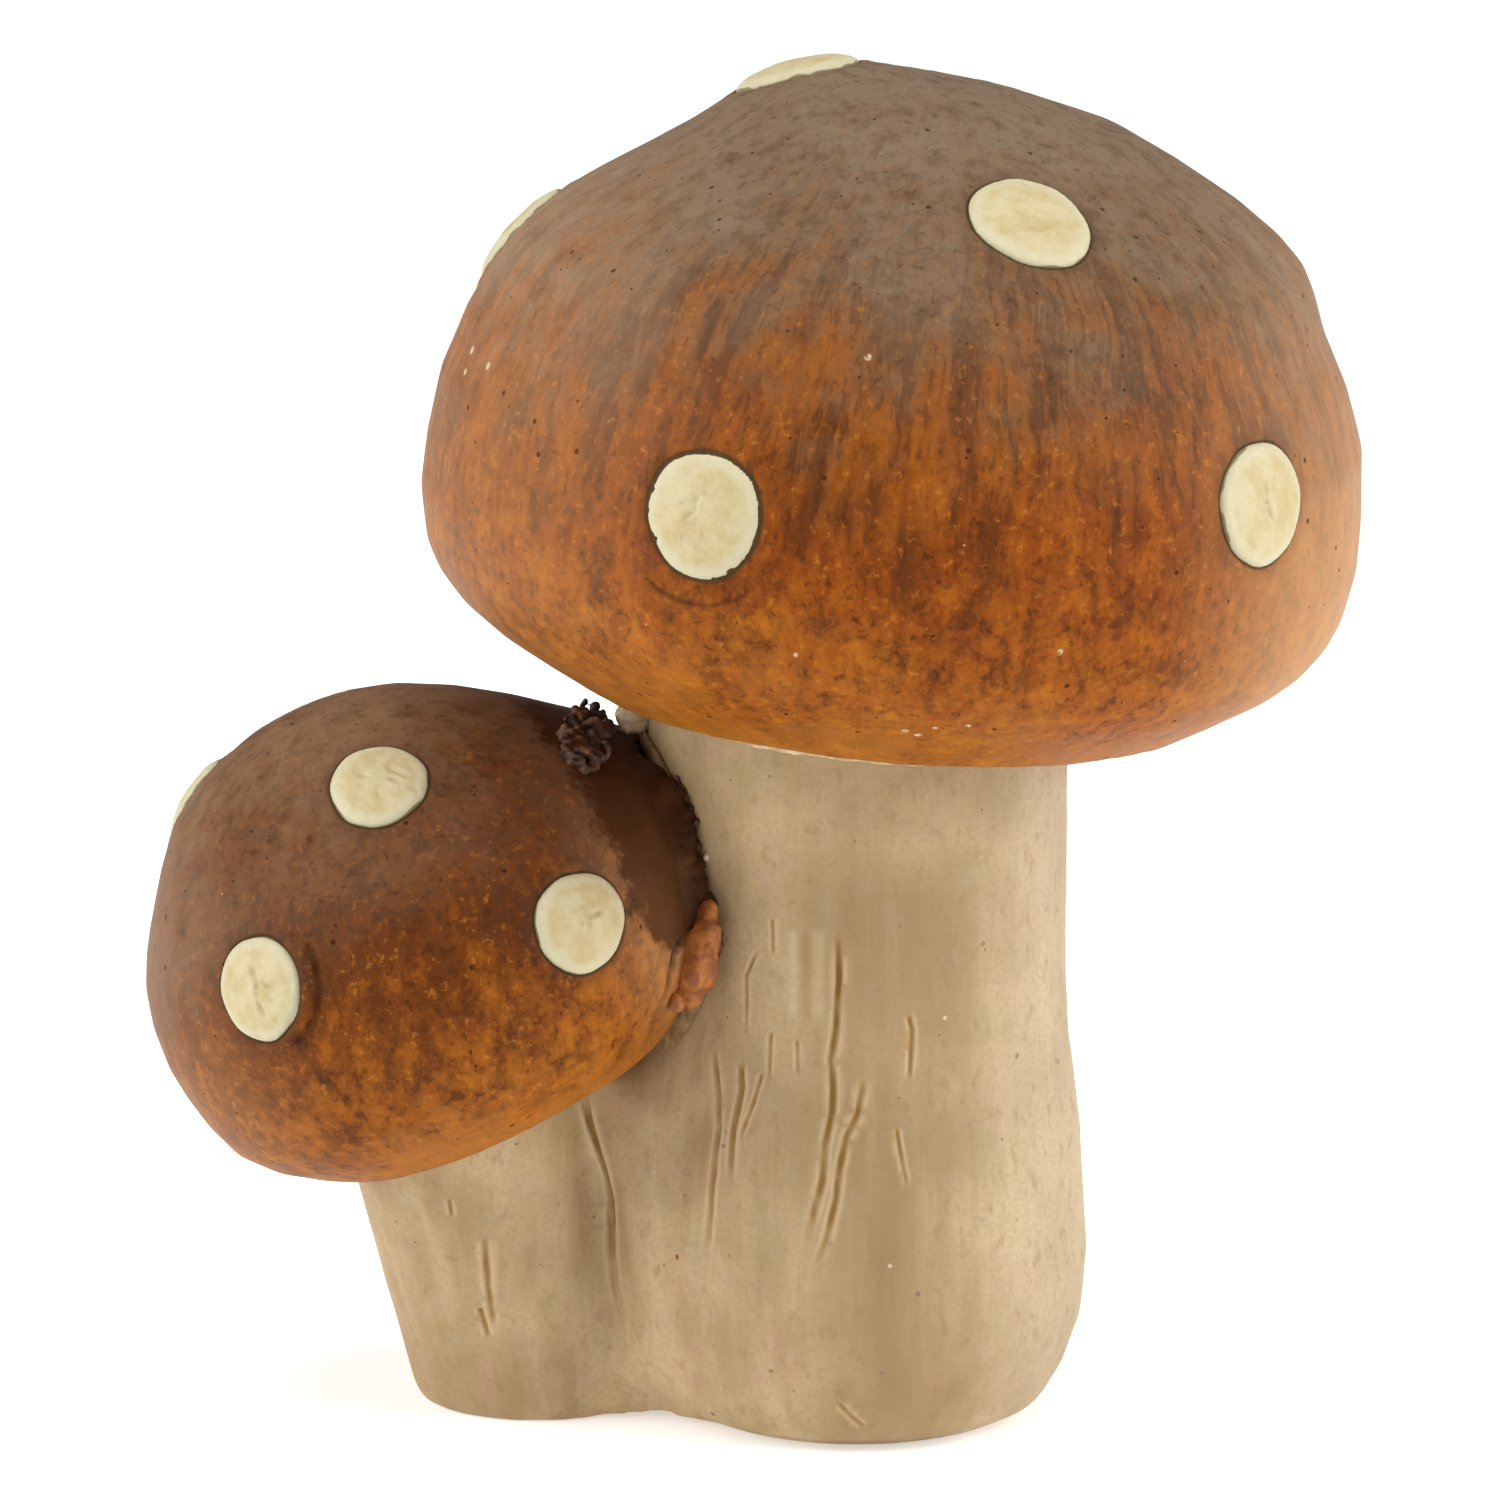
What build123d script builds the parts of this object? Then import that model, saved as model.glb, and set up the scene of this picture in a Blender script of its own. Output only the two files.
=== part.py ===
from build123d import *
import math
import os

# A pair of hand-built ceramic mushrooms: a large one standing upright, and a small one that leans
# away from it with its cap pressed against the large stem.
# Millimetres. +Z is up, the viewer stands at -Y, and the origin is the middle of the large foot
# where it rests on the table.

# The clay. Walls are those of a hollow hand-built piece; slip is the liquid clay of the joints.
wall = 5.0
slip = 0.5
fit_gap = 0.15

# The large stem: waist under the cap, belly near the table, rounded foot.
large_waist_radius = 21.2
large_belly_radius = 23.4
large_waist_height = 46.0
large_belly_height = 17.0

# The large cap. Its own origin is on its widest ring, and it tips down to the right.
large_cap_radius = 47.0
large_cap_height = 64.5
large_cap_below = 18.5
large_cap_x = 3.8
large_cap_z = 90.9
large_cap_tip = 5.3

# The small stem leans out to the left and forward. Its foot stands beside the large belly.
small_stem_radius = 13.4
small_foot_rounding = 6.0
small_foot_side = 7.6
small_foot_y = 6.0
small_lean_left = 13.0
small_lean_front = 13.0

# The small cap leans further than its stem. Its middle is beside the large waist and lower than the
# middle of the large cap.
small_cap_radius = 29.6
small_cap_height = 44.8
small_cap_below = 18.0
small_cap_side = 21.3
small_cap_drop = 41.3
small_cap_y = -5.0
small_cap_tip = -25.0

# Stems stand this deep in a seat under their cap.
seat_depth = 1.5

# Vent holes let the air out of the hollow bodies in the kiln. They are off the middle of the feet.
vent_radius = 2.0
vent_offset = 6.0

# The hollow of the small cap is kept clear of the large stem.
small_hollow_share = 0.85
small_hollow_side = 4.0

# Spots are pressed pellets of pale clay, let into the cap and crowned like it.
large_spot_radius = 6.1
small_spot_radius = 5.0
spot_seat = 0.5
spot_proud = 0.5
spot_crown_share = 0.55
spot_sides = 18
spot_uneven_share = 0.03

# Clay worked in by hand where the two mushrooms meet: a web between the stems, a flap torn off
# the small cap, and crumbs pushed up around the joint. The web starts inside the large stem, goes
# past its belly and ends under the small cap. Its rows go up from the table: share of its height,
# then shares of its near x, near y, far x, front y and back y.
web_sink = 4.2
web_past_belly = 4.6
web_under_cap = 11.6
web_near_y = 16.0
web_front_y = 9.5
web_back_y = 14.0
web_lift = 0.6
web_shares = [
    (0.00, 0.59, 0.78, 0.89, 0.37, 0.96),
    (0.22, 0.97, 0.97, 0.89, 0.79, 1.00),
    (0.52, 1.00, 1.00, 0.91, 0.85, 0.82),
    (1.00, 0.94, 0.91, 1.00, 1.00, 0.36),
]
flap_reach = 3.8
flap_side_share = 0.68
flap_front_share = 0.58
flap_under_cap = 1.1
flap_radius = 4.2
flap_height = 10.5
flap_shares = [
    (-0.50, 0.35),
    (-0.15, 0.95),
    (0.20, 1.00),
    (0.50, 0.40),
]
crumb_size = 2.4
crumb_count = 7
golden_turn = 2.4
crumb_y = -3.0
crumb_spread = 7.0
crumb_tumble = 12.72
crumb_roll = 5.3
brown_crumb_side = 6.3
pale_crumb_side = 1.8
slip_bead = 1.3
slip_spread = 1.0

# How far the hand-shaped rings of a body are from true circles, and how many points shape one.
uneven_share = 0.008
uneven_waves = 3
ring_points = 8

# Profiles from the underside up: share of the height, share of the radius, sideways share.
large_cap_shares = [
    (0.000, 0.553, 0.000),
    (0.016, 0.662, 0.000),
    (0.057, 0.760, -0.005),
    (0.100, 0.856, -0.010),
    (0.134, 0.912, -0.015),
    (0.171, 0.953, -0.020),
    (0.212, 0.979, -0.022),
    (0.290, 1.000, -0.022),
    (0.370, 0.998, -0.020),
    (0.470, 0.982, -0.018),
    (0.565, 0.938, -0.020),
    (0.645, 0.882, -0.022),
    (0.700, 0.845, -0.012),
    (0.742, 0.800, 0.004),
    (0.783, 0.733, 0.016),
    (0.831, 0.637, 0.022),
    (0.877, 0.538, 0.012),
    (0.927, 0.427, -0.015),
    (0.968, 0.275, -0.070),
    (0.990, 0.130, -0.140),
    (1.000, 0.040, -0.170),
]
small_cap_shares = [
    (0.000, 0.620, 0.000),
    (0.042, 0.725, 0.000),
    (0.098, 0.838, 0.000),
    (0.165, 0.922, 0.000),
    (0.250, 0.966, 0.000),
    (0.328, 0.987, 0.000),
    (0.402, 1.000, 0.000),
    (0.500, 0.990, 0.000),
    (0.585, 0.950, -0.005),
    (0.645, 0.895, -0.010),
    (0.705, 0.822, -0.020),
    (0.810, 0.668, -0.055),
    (0.885, 0.540, -0.085),
    (0.945, 0.390, -0.090),
    (0.982, 0.230, -0.080),
    (1.000, 0.070, -0.070),
]
# The feet from the table up: share of the rounded height, share of the radius. The small foot
# starts under the table, which cuts it flat across its lean. Between them, the flare of the large
# stem: share of the height from belly to waist, share of the swell that is left.
large_foot_shares = [
    (0.00, 0.662),
    (0.10, 0.815),
    (0.30, 0.900),
    (0.60, 0.972),
    (1.00, 1.000),
]
large_flare_shares = [
    (0.45, 0.64),
    (0.75, 0.17),
]
small_foot_shares = [
    (-1.00, 0.00),
    (-0.50, 0.58),
    (-0.20, 0.80),
    (0.30, 0.94),
    (1.00, 1.00),
]
# The hollows inside the caps, as shares of each cap's own radius and height.
hollow_shares = [
    (0.09, 0.00),
    (0.09, 0.78),
    (0.53, 0.86),
    (0.85, 0.34),
    (0.85, 0.00),
]

# Where spots sit: the turn about the cap's own axis from its right side, and the angle up from
# its widest ring, as seen from the axis. The viewer is at a turn of -90 degrees.
large_spot_places = [
    (-114.9, 9.7),
    (-40.4, 14.0),
    (-70.3, 52.6),
    (168.0, 31.0),
    (167.0, 72.0),
    (38.0, 22.0),
    (80.0, 6.0),
    (125.0, 14.0),
    (98.0, 46.0),
]
small_spot_places = [
    (-76.0, 49.5),
    (-54.0, 0.6),
    (-120.7, 15.3),
    (158.0, 52.0),
    (100.0, 12.0),
    (62.0, 36.0),
]


def ring(radius, height, x, y):
    """A level closed curve, nearly a circle, with the slight unevenness that hands leave."""
    points = []
    for i in range(ring_points):
        turn = 2 * math.pi * i / ring_points
        reach = radius * (1 + uneven_share * math.cos(uneven_waves * turn + height / large_cap_radius))
        points.append((x + reach * math.cos(turn), y + reach * math.sin(turn), height))
    knots = [float(i) for i in range(ring_points + 1)]
    return Wire([Edge.make_spline(points, periodic=True, parameters=knots)])


def polygon_ring(corners, height):
    """A level closed outline through the corners."""
    points = [(x, y, height) for x, y in corners]
    return Wire([Edge.make_line(a, b) for a, b in zip(points, points[1:] + points[:1])])


def turned(profile):
    """A solid turned about the upright axis from a profile of (radius, height) that starts and ends on it."""
    points = [(radius, 0, height) for radius, height in profile]
    edges = [Edge.make_line(a, b) for a, b in zip(points, points[1:] + points[:1])]
    return Solid.revolve(Face(Wire(edges)), 360, Axis.Z)


def cap_skin(shares, radius, height, below, spread=0):
    """The outside of a cap about its own origin, grown by a spread on all sides."""
    rings = []
    for height_share, radius_share, side_share in shares:
        level = height_share * (height + 2 * spread) - below - spread
        rings.append(ring(radius_share * (radius + spread), level, side_share * radius, 0))
    return Solid.make_loft(rings, ruled=True)


def large_cap_skin():
    return large_cap_place * cap_skin(large_cap_shares, large_cap_radius, large_cap_height, large_cap_below)


def small_cap_skin(spread=0):
    skin = cap_skin(small_cap_shares, small_cap_radius, small_cap_height, small_cap_below, spread)
    return small_cap_place * skin


def large_stem_skin(spread):
    """The outside of the large stem, running on up into the cap."""
    profile = [(0, 0)]
    for height_share, radius_share in large_foot_shares:
        profile.append((radius_share * large_belly_radius + spread, height_share * large_belly_height))
    for height_share, swell_share in large_flare_shares:
        height = large_belly_height + height_share * (large_waist_height - large_belly_height)
        swell = swell_share * (large_belly_radius - large_waist_radius)
        profile.append((large_waist_radius + swell + spread, height))
    profile.append((large_waist_radius + spread, large_waist_height))
    profile.append((large_waist_radius + spread, large_cap_z))
    profile.append((0, large_cap_z))
    return turned(profile)


def small_stem_skin(spread):
    """The outside of the small stem, cut flat by the table and running on up into the cap."""
    profile = []
    for height_share, radius_share in small_foot_shares:
        radius = radius_share * small_stem_radius
        profile.append((radius + spread if radius else 0, height_share * small_foot_rounding))
    profile.append((small_stem_radius + spread, small_cap_z))
    profile.append((0, small_cap_z))
    return (small_stem_place * turned(profile)) & above_table


def under_level(place, level):
    """All that lies under a level of a tipped cap."""
    reach = 2 * large_cap_z
    return place * Pos(0, 0, level - reach / 2) * Box(reach, reach, reach)


def hollow(radius, height, below, side):
    """The hollow of a cap, about the cap's own origin and moved sideways."""
    profile = [(share * radius, level * height - below) for level, share in hollow_shares]
    return Pos(side, 0, 0) * turned(profile)


def spot_outline(index, radius):
    """The pressed, not quite round outline of one spot."""
    corners = []
    for i in range(spot_sides):
        turn = 2 * math.pi * i / spot_sides
        reach = radius * (1 + spot_uneven_share * math.cos(2 * turn + index))
        corners.append((reach * math.cos(turn), reach * math.sin(turn)))
    return corners


def spot_plane(skin, place, turn, up):
    """The plane that touches a cap where a ray from its own origin leaves it."""
    level = math.cos(math.radians(up))
    x = level * math.cos(math.radians(turn))
    y = level * math.sin(math.radians(turn))
    start = place.position
    direction = (place * Pos(x, y, math.sin(math.radians(up)))).position - start
    point, normal = skin.find_intersection_points(Axis(start, direction))[-1]
    return Plane(origin=point, z_dir=normal)


def spot_block(index, radius, sag, spread, top):
    """An upright block with the outline of a spot, from the floor of its seat up to a level."""
    floor = -sag - spot_seat
    outline = polygon_ring(spot_outline(index, radius + spread), floor)
    return Solid.extrude(Face(outline), Vector(0, 0, top - floor))


def spot(index, radius, sag):
    """A pellet: flat below, straight round its edge, and crowned on top to follow the cap."""
    block = spot_block(index, radius, sag, 0, spot_proud)
    top = block.faces().sort_by(Axis.Z)[-1]
    return block.chamfer((1 - spot_crown_share) * radius, sag, top.edges(), top)


def seat_spots(cap, outside, place, places, cap_radius, radius, name):
    """Cuts a seat for each spot of a cap. Gives the cap and its spots, all in place."""
    sag = radius ** 2 / (2 * cap_radius)
    pellets = {}
    for index, (turn, up) in enumerate(places):
        seat = spot_plane(outside, place, turn, up).location
        cap -= seat * spot_block(index, radius, sag, fit_gap, radius)
        pellets[f"{name}_{index + 1}"] = seat * spot(index, radius, sag)
    return cap, pellets


# Where the bodies stand, and the skins that the joints are cut with.
small_foot_x = -large_belly_radius - small_foot_side
small_cap_x = -large_waist_radius - small_cap_side
small_cap_z = large_cap_z - small_cap_drop
above_table = Pos(0, 0, large_cap_z) * Box(4 * large_cap_z, 4 * large_cap_z, 2 * large_cap_z)
small_stem_place = Location((small_foot_x, small_foot_y, 0), (small_lean_front, -small_lean_left, 0))
large_cap_place = Location((large_cap_x, 0, large_cap_z), (0, large_cap_tip, 0))
small_cap_place = Location((small_cap_x, small_cap_y, small_cap_z), (0, small_cap_tip, 0))
large_cap_outside = large_cap_skin()
small_cap_outside = small_cap_skin()
large_stem_outside = large_stem_skin(0)
large_stem_slipped = large_stem_skin(slip)
small_stem_outside = small_stem_skin(0)
large_seat_level = seat_depth - large_cap_below
small_seat_level = seat_depth - small_cap_below
under_large_seat = under_level(large_cap_place, large_seat_level)
under_small_seat = under_level(small_cap_place, small_seat_level)

# The large stem is a tube with a floor, open at the top into the cap.
bore_radius = large_waist_radius - wall
bore = Pos(0, 0, wall) * Solid.make_cylinder(bore_radius, large_cap_z - wall)
foot_vent = Pos(0, vent_offset, 0) * Solid.make_cylinder(vent_radius, wall)
large_stem = (large_stem_outside & under_large_seat) - bore - foot_vent

# The large cap has a seat for the stem, an opening of the stem's bore and a hollow above it.
large_hollow = large_cap_place * hollow(large_cap_radius, large_cap_height, large_cap_below, 0)
large_seat = large_stem_skin(fit_gap) & under_large_seat
large_cap = large_cap_outside - large_seat - bore - large_hollow

# The small stem is solid but for a vent, which runs on into the small cap.
small_vent = small_stem_place * Pos(-vent_offset, 0, -wall) * Solid.make_cylinder(vent_radius, small_cap_z)
small_stem = (small_stem_outside & under_small_seat) - large_stem_slipped - small_vent

small_hollow = small_cap_place * hollow(
    small_cap_radius * small_hollow_share, small_cap_height, small_cap_below, -small_hollow_side
)
small_seat = small_stem_skin(fit_gap) & under_small_seat
small_cap = small_cap_outside - small_seat - large_stem_slipped - small_vent - small_hollow

# Slip: a bead squeezed out round the large stem's top, and a thin layer where the small cap and
# the small stem lie against the large stem.
tip = math.radians(large_cap_tip)
bead_side = (large_cap_below * math.sin(tip) - large_cap_x) / math.cos(tip)
bead = Pos(bead_side, 0, -large_cap_below - slip_bead) * turned([
    (0, 0),
    (large_waist_radius + slip, 0),
    (large_waist_radius + slip_bead, slip_bead),
    (0, slip_bead),
])
slip_ring = large_cap_place * bead - large_stem_outside
slip_layer = large_stem_slipped - large_stem_outside
slip_pad = slip_layer & small_cap_skin(slip_spread)

# The web of clay that fills the crease between the stems, from front to back.
web_near_x = large_waist_radius - web_sink
web_far_x = large_belly_radius + web_past_belly
web_height = small_cap_z - web_under_cap
web_rings = []
for height_share, near_x_share, near_y_share, far_x_share, front_share, back_share in web_shares:
    outline = [
        (-near_x_share * web_near_x, -near_y_share * web_near_y),
        (-near_x_share * web_near_x, near_y_share * web_near_y),
        (-far_x_share * web_far_x, back_share * web_back_y),
        (-far_x_share * web_far_x, -front_share * web_front_y),
    ]
    web_rings.append(polygon_ring(outline, web_lift + height_share * (web_height - web_lift)))
web_block = Solid.make_loft(web_rings, ruled=True)
web = web_block - large_stem_outside - small_stem_outside - small_cap_outside - slip_pad

# The flap torn from the small cap's edge, lying on the large stem.
flap_x = -flap_side_share * (large_waist_radius + flap_reach)
flap_y = -flap_front_share * (large_waist_radius + flap_reach)
flap_place = Location((flap_x, flap_y, small_cap_z - flap_under_cap), (0, small_cap_tip, 0))
flap_rings = []
for height_share, radius_share in flap_shares:
    flap_rings.append(ring(radius_share * flap_radius, height_share * flap_height, 0, 0))
flap_block = flap_place * Solid.make_loft(flap_rings, ruled=True)
flap = flap_block - large_stem_outside - small_cap_outside - slip_pad


def crumbs(side, seed):
    """A clump of crumbs settled on the small cap, at a distance from the large stem's side."""
    middle_x = -large_waist_radius - side
    clump = None
    for i in range(crumb_count):
        turn = golden_turn * i + seed
        reach = crumb_spread / 2 * math.sqrt(i / crumb_count)
        x = middle_x + reach * math.cos(turn) / 2
        y = crumb_y + reach * math.sin(turn)
        ray = Axis((x, y, large_cap_z), (0, 0, -1))
        rest = small_cap_outside.find_intersection_points(ray)[0][0]
        uneven = 1 + math.sin(turn) / 3
        size = crumb_size * uneven
        lump = Location(rest, (crumb_tumble * turn * uneven, crumb_roll * turn, 0)) * Box(size, size, size)
        clump = lump if clump is None else clump + lump
    return clump - small_cap_outside - slip_pad - large_stem_outside - large_cap_outside


brown_crumbs = crumbs(brown_crumb_side, 0)
pale_crumbs = crumbs(pale_crumb_side, 1) - brown_crumbs

# Spots, each seated in its own pocket.
large_cap, large_spots = seat_spots(
    large_cap, large_cap_outside, large_cap_place,
    large_spot_places, large_cap_radius, large_spot_radius, "large_spot",
)
small_cap, small_spots = seat_spots(
    small_cap, small_cap_outside, small_cap_place,
    small_spot_places, small_cap_radius, small_spot_radius, "small_spot",
)

nodes = {
    "large_stem": large_stem,
    "large_cap": large_cap,
    "small_stem": small_stem,
    "small_cap": small_cap,
    "slip_ring": slip_ring,
    "slip_pad": slip_pad,
    "stem_web": web,
    "torn_flap": flap,
    "brown_crumbs": brown_crumbs,
    "pale_crumbs": pale_crumbs,
}
nodes.update(large_spots)
nodes.update(small_spots)

os.makedirs("parts", exist_ok=True)
for name, shape in nodes.items():
    export_step(Compound(children=shape.solids()), f"parts/{name}.step")
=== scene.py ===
# %% [markdown]
# # A pair of ceramic mushrooms
# A hand-built clay ornament: an upright mushroom, and a small one that leans away from it with its
# cap pressed against the large stem. The measured model is loaded first and stays as it is. Each
# piece is then made again as clay that hands have worked, in the same place and to the same size,
# and gets the glaze, the clay or the slip that it has on the real ornament.

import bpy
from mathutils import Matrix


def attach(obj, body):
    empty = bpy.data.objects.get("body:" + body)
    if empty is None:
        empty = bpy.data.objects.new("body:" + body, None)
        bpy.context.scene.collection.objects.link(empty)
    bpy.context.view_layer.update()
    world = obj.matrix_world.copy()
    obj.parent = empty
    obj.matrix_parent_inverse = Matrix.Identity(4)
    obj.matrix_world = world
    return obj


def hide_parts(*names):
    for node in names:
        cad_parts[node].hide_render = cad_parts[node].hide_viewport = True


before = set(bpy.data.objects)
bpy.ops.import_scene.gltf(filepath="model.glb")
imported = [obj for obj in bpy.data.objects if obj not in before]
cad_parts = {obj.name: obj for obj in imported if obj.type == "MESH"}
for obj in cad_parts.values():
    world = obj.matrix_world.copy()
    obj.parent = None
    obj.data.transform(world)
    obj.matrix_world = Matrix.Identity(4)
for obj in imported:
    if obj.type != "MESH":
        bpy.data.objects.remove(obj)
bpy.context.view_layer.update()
print("nodes:", len(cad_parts))

# %% What the lesson needs
import math

import bmesh
import bpy
import numpy as np
from mathutils import Euler, Matrix, Vector, noise
from mathutils.bvhtree import BVHTree

MM = 0.001

# %% [markdown]
# ## The camera first
# The picture was taken from the front, about 13 degrees above level, with a long lens, so that
# upright lines stay upright. The frame is square and 150 mm wide where the ornament stands. The
# camera comes first, because small marks are later placed by looking through it.

# %% The camera
frame_pixels = 1500
pixels_a_mm = 10
frame_width = frame_pixels / pixels_a_mm * MM
camera_away = 1150 * MM
camera_up = math.radians(13)
sensor = 36
aim = Vector((-10.7, 0, 67.8)) * MM
look_back = Vector((0, -math.cos(camera_up), math.sin(camera_up)))
look_up = Vector((0, math.sin(camera_up), math.cos(camera_up)))

lens = bpy.data.cameras.new("camera")
lens.sensor_width = sensor
lens.lens = sensor * camera_away / frame_width
camera = bpy.data.objects.new("camera", lens)
camera.location = aim + look_back * camera_away
camera.rotation_euler = Euler((math.pi / 2 - camera_up, 0, 0))
bpy.context.scene.collection.objects.link(camera)
bpy.context.scene.camera = camera
print("lens in mm:", round(lens.lens))

# %% [markdown]
# ## Where the bodies stand
# Each cap has its own middle, on its widest ring, and tips to one side. The small stem leans out
# of the large one. A pattern that runs down a cap from its tip has to know that place, so it is
# kept here once, as the measured model has it.


# %% Places of the caps and of the small stem
def place(x, y, z, lean_x=0, lean_y=0):
    """A place in millimetres, leaned about X and then about Y in degrees."""
    lean = Euler((math.radians(lean_x), 0, 0)).to_matrix() @ Euler((0, math.radians(lean_y), 0)).to_matrix()
    return Matrix.Translation(Vector((x, y, z)) * MM) @ lean.to_4x4()


large_cap_place = place(3.8, 0, 90.9, lean_y=5.3)
small_cap_place = place(-42.5, -5, 49.6, lean_y=-25)
small_stem_place = place(-31, 6, 0, lean_x=13, lean_y=-13)
large_waist = 21.2
print("the large cap's middle:", large_cap_place.translation)

# %% [markdown]
# ## Clay from the measured model
# Clay has no exact faces, so a copy of the measured mesh is merged and given an even skin with the
# voxel remesher. Small quads of one size can then be pushed in and out like clay. Where a mark is
# finer than those quads, the skin is cut finer there alone.


# %% Copies, an even skin, and finer places
def copy_of(*nodes):
    """A bmesh with merged copies of measured nodes."""
    clay = bmesh.new()
    for node in nodes:
        clay.from_mesh(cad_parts[node].data)
    bmesh.ops.remove_doubles(clay, verts=clay.verts, dist=0.01 * MM)
    return clay


def shown(clay, name):
    """Makes an object of a bmesh, at the origin, with its place in its mesh."""
    mesh = bpy.data.meshes.new(name)
    clay.to_mesh(mesh)
    clay.free()
    piece = bpy.data.objects.new(name, mesh)
    bpy.context.scene.collection.objects.link(piece)
    return piece


def plug(clay, where, radius):
    """Closes a bore with a short round plug, so that the hollow behind it gets no skin."""
    bmesh.ops.create_cone(
        clay, cap_ends=True, segments=64, radius1=radius * MM, radius2=radius * MM, depth=4 * MM, matrix=where
    )


def even_skin(clay, name, size):
    """An object with the outside of a bmesh in quads of nearly one size, in millimetres."""
    piece = shown(clay, name)
    even = piece.modifiers.new("even", "REMESH")
    even.mode = "VOXEL"
    even.voxel_size = size * MM
    bpy.context.view_layer.update()
    skin = bpy.data.meshes.new_from_object(piece.evaluated_get(bpy.context.evaluated_depsgraph_get()))
    piece.modifiers.clear()
    piece.data = skin
    skin.name = name
    print(name, "points after the remesh:", len(skin.vertices))
    return piece


def get_points(piece):
    """The places of a piece's points in millimetres, a row each."""
    flat = np.empty(len(piece.data.vertices) * 3)
    piece.data.vertices.foreach_get("co", flat)
    return flat.reshape(-1, 3) / MM


def get_normals(piece):
    """The directions that a piece's points face."""
    flat = np.empty(len(piece.data.vertices) * 3)
    piece.data.vertex_normals.foreach_get("vector", flat)
    return flat.reshape(-1, 3)


def set_points(piece, points):
    """Moves a piece's points to places in millimetres."""
    piece.data.vertices.foreach_set("co", (points * MM).ravel())
    piece.data.update()


def swell(piece, move):
    """Moves a piece's points out along the skin, each by its own millimetres, or in below zero."""
    set_points(piece, get_points(piece) + get_normals(piece) * move[:, None])


def set_mark(piece, name, values):
    """Writes one number a point, for a material to read."""
    mark = piece.data.attributes.new(name, "FLOAT", "POINT")
    mark.data.foreach_set("value", np.asarray(values, np.float32))


def soften(piece, rounds, share=0.5):
    """Smooths the whole skin, as a wet sponge does."""
    clay = bmesh.new()
    clay.from_mesh(piece.data)
    for _ in range(rounds):
        bmesh.ops.smooth_vert(
            clay, verts=clay.verts, factor=share, use_axis_x=True, use_axis_y=True, use_axis_z=True
        )
    clay.to_mesh(piece.data)
    clay.free()


def sponge(piece, shares, rounds):
    """Smooths the skin again and again, most where the share of a point is near one."""
    clay = bmesh.new()
    clay.from_mesh(piece.data)
    levels = (0.25, 0.5, 0.75)
    for level in levels:
        wet = [point for point, share in zip(clay.verts, shares) if share > level]
        for _ in range(rounds // len(levels)):
            bmesh.ops.smooth_vert(
                clay, verts=wet, factor=0.5, use_axis_x=True, use_axis_y=True, use_axis_z=True
            )
    clay.to_mesh(piece.data)
    clay.free()


def finer(piece, close):
    """Cuts the skin finer where a test says that points are close to a mark."""
    near = close(get_points(piece))
    clay = bmesh.new()
    clay.from_mesh(piece.data)
    edges = [e for e in clay.edges if near[e.verts[0].index] and near[e.verts[1].index]]
    bmesh.ops.subdivide_edges(clay, edges=edges, cuts=1, use_grid_fill=True)
    bmesh.ops.triangulate(clay, faces=[f for f in clay.faces if len(f.verts) > 4])
    clay.to_mesh(piece.data)
    clay.free()


# %% [markdown]
# ## Uneven by hand
# Hands leave slow waves, and fingers and tools leave finer ones. Both come from noise that is read
# at each point's own place, so it is the same on every run. Stretching the place along one
# direction turns round lumps into long strokes.


# %% Noise at a list of places
def lumps(places, size, seed=0):
    """Smooth noise from about -1 to 1 at each place, with lumps of a size in millimetres."""
    away = Vector((seed * 17.3, seed * -9.1, seed * 5.7))
    sizes = np.broadcast_to(np.asarray(size, float), (3,))
    return np.array([noise.noise(Vector(p) + away) for p in places / sizes])


def within(place_matrix, points):
    """Points in millimetres as seen from a place of their own."""
    back = np.array(place_matrix.inverted())
    return points @ back[:3, :3].T + back[:3, 3] / MM


def bell(distance, width):
    """One at a distance of zero, falling smoothly to nothing beyond the width."""
    return np.exp(-((distance / width) ** 2))


def fade(value, low, high):
    """Rises smoothly from 0 at low to 1 at high."""
    part = np.clip((value - low) / (high - low), 0, 1)
    return part * part * (3 - 2 * part)


# %% [markdown]
# ## Marks are placed one by one
# A gouge or a crack is placed where the picture shows it: a ray goes from the camera through that
# spot of the picture, and where it meets the skin, the mark lies on the clay. From any other side
# it still sits on the surface.


# %% From the picture to the clay
def tree_of(piece):
    """A search tree of a piece's skin."""
    return BVHTree.FromObject(piece, bpy.context.evaluated_depsgraph_get())


def seen(tree, column, row):
    """Where the ray through a spot of the picture meets the skin, in millimetres."""
    right = (column / frame_pixels - 0.5) * frame_width
    up = (0.5 - row / frame_pixels) * frame_width
    through = aim + Vector((right, 0, 0)) + look_up * up
    start = camera.location
    hit = tree.ray_cast(start, through - start)[0]
    return np.array(hit) / MM if hit else None


def first_seen(trees, column, row):
    """Where that ray first meets one of several skins."""
    hits = [seen(tree, column, row) for tree in trees]
    away = {np.linalg.norm(hit - np.array(camera.location) / MM): hit for hit in hits if hit is not None}
    return away[min(away)] if away else None


def traced(tree, line):
    """A line of picture spots as a line on the skin."""
    spots = [seen(tree, column, row) for column, row in line]
    return np.array([s for s in spots if s is not None])


def from_line(points, line):
    """Each point's distance from a line on the skin, and its share of the way along it."""
    best = np.full(len(points), 1e9)
    along = np.zeros(len(points))
    lengths = np.linalg.norm(np.diff(line, axis=0), axis=1)
    gone = 0
    for start, end, length in zip(line[:-1], line[1:], lengths):
        step = (end - start) / length
        part = np.clip((points - start) @ step, 0, length)
        distance = np.linalg.norm(points - start - part[:, None] * step, axis=1)
        closer = distance < best
        best[closer] = distance[closer]
        along[closer] = (gone + part[closer]) / lengths.sum()
        gone += length
    return best, along


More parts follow.
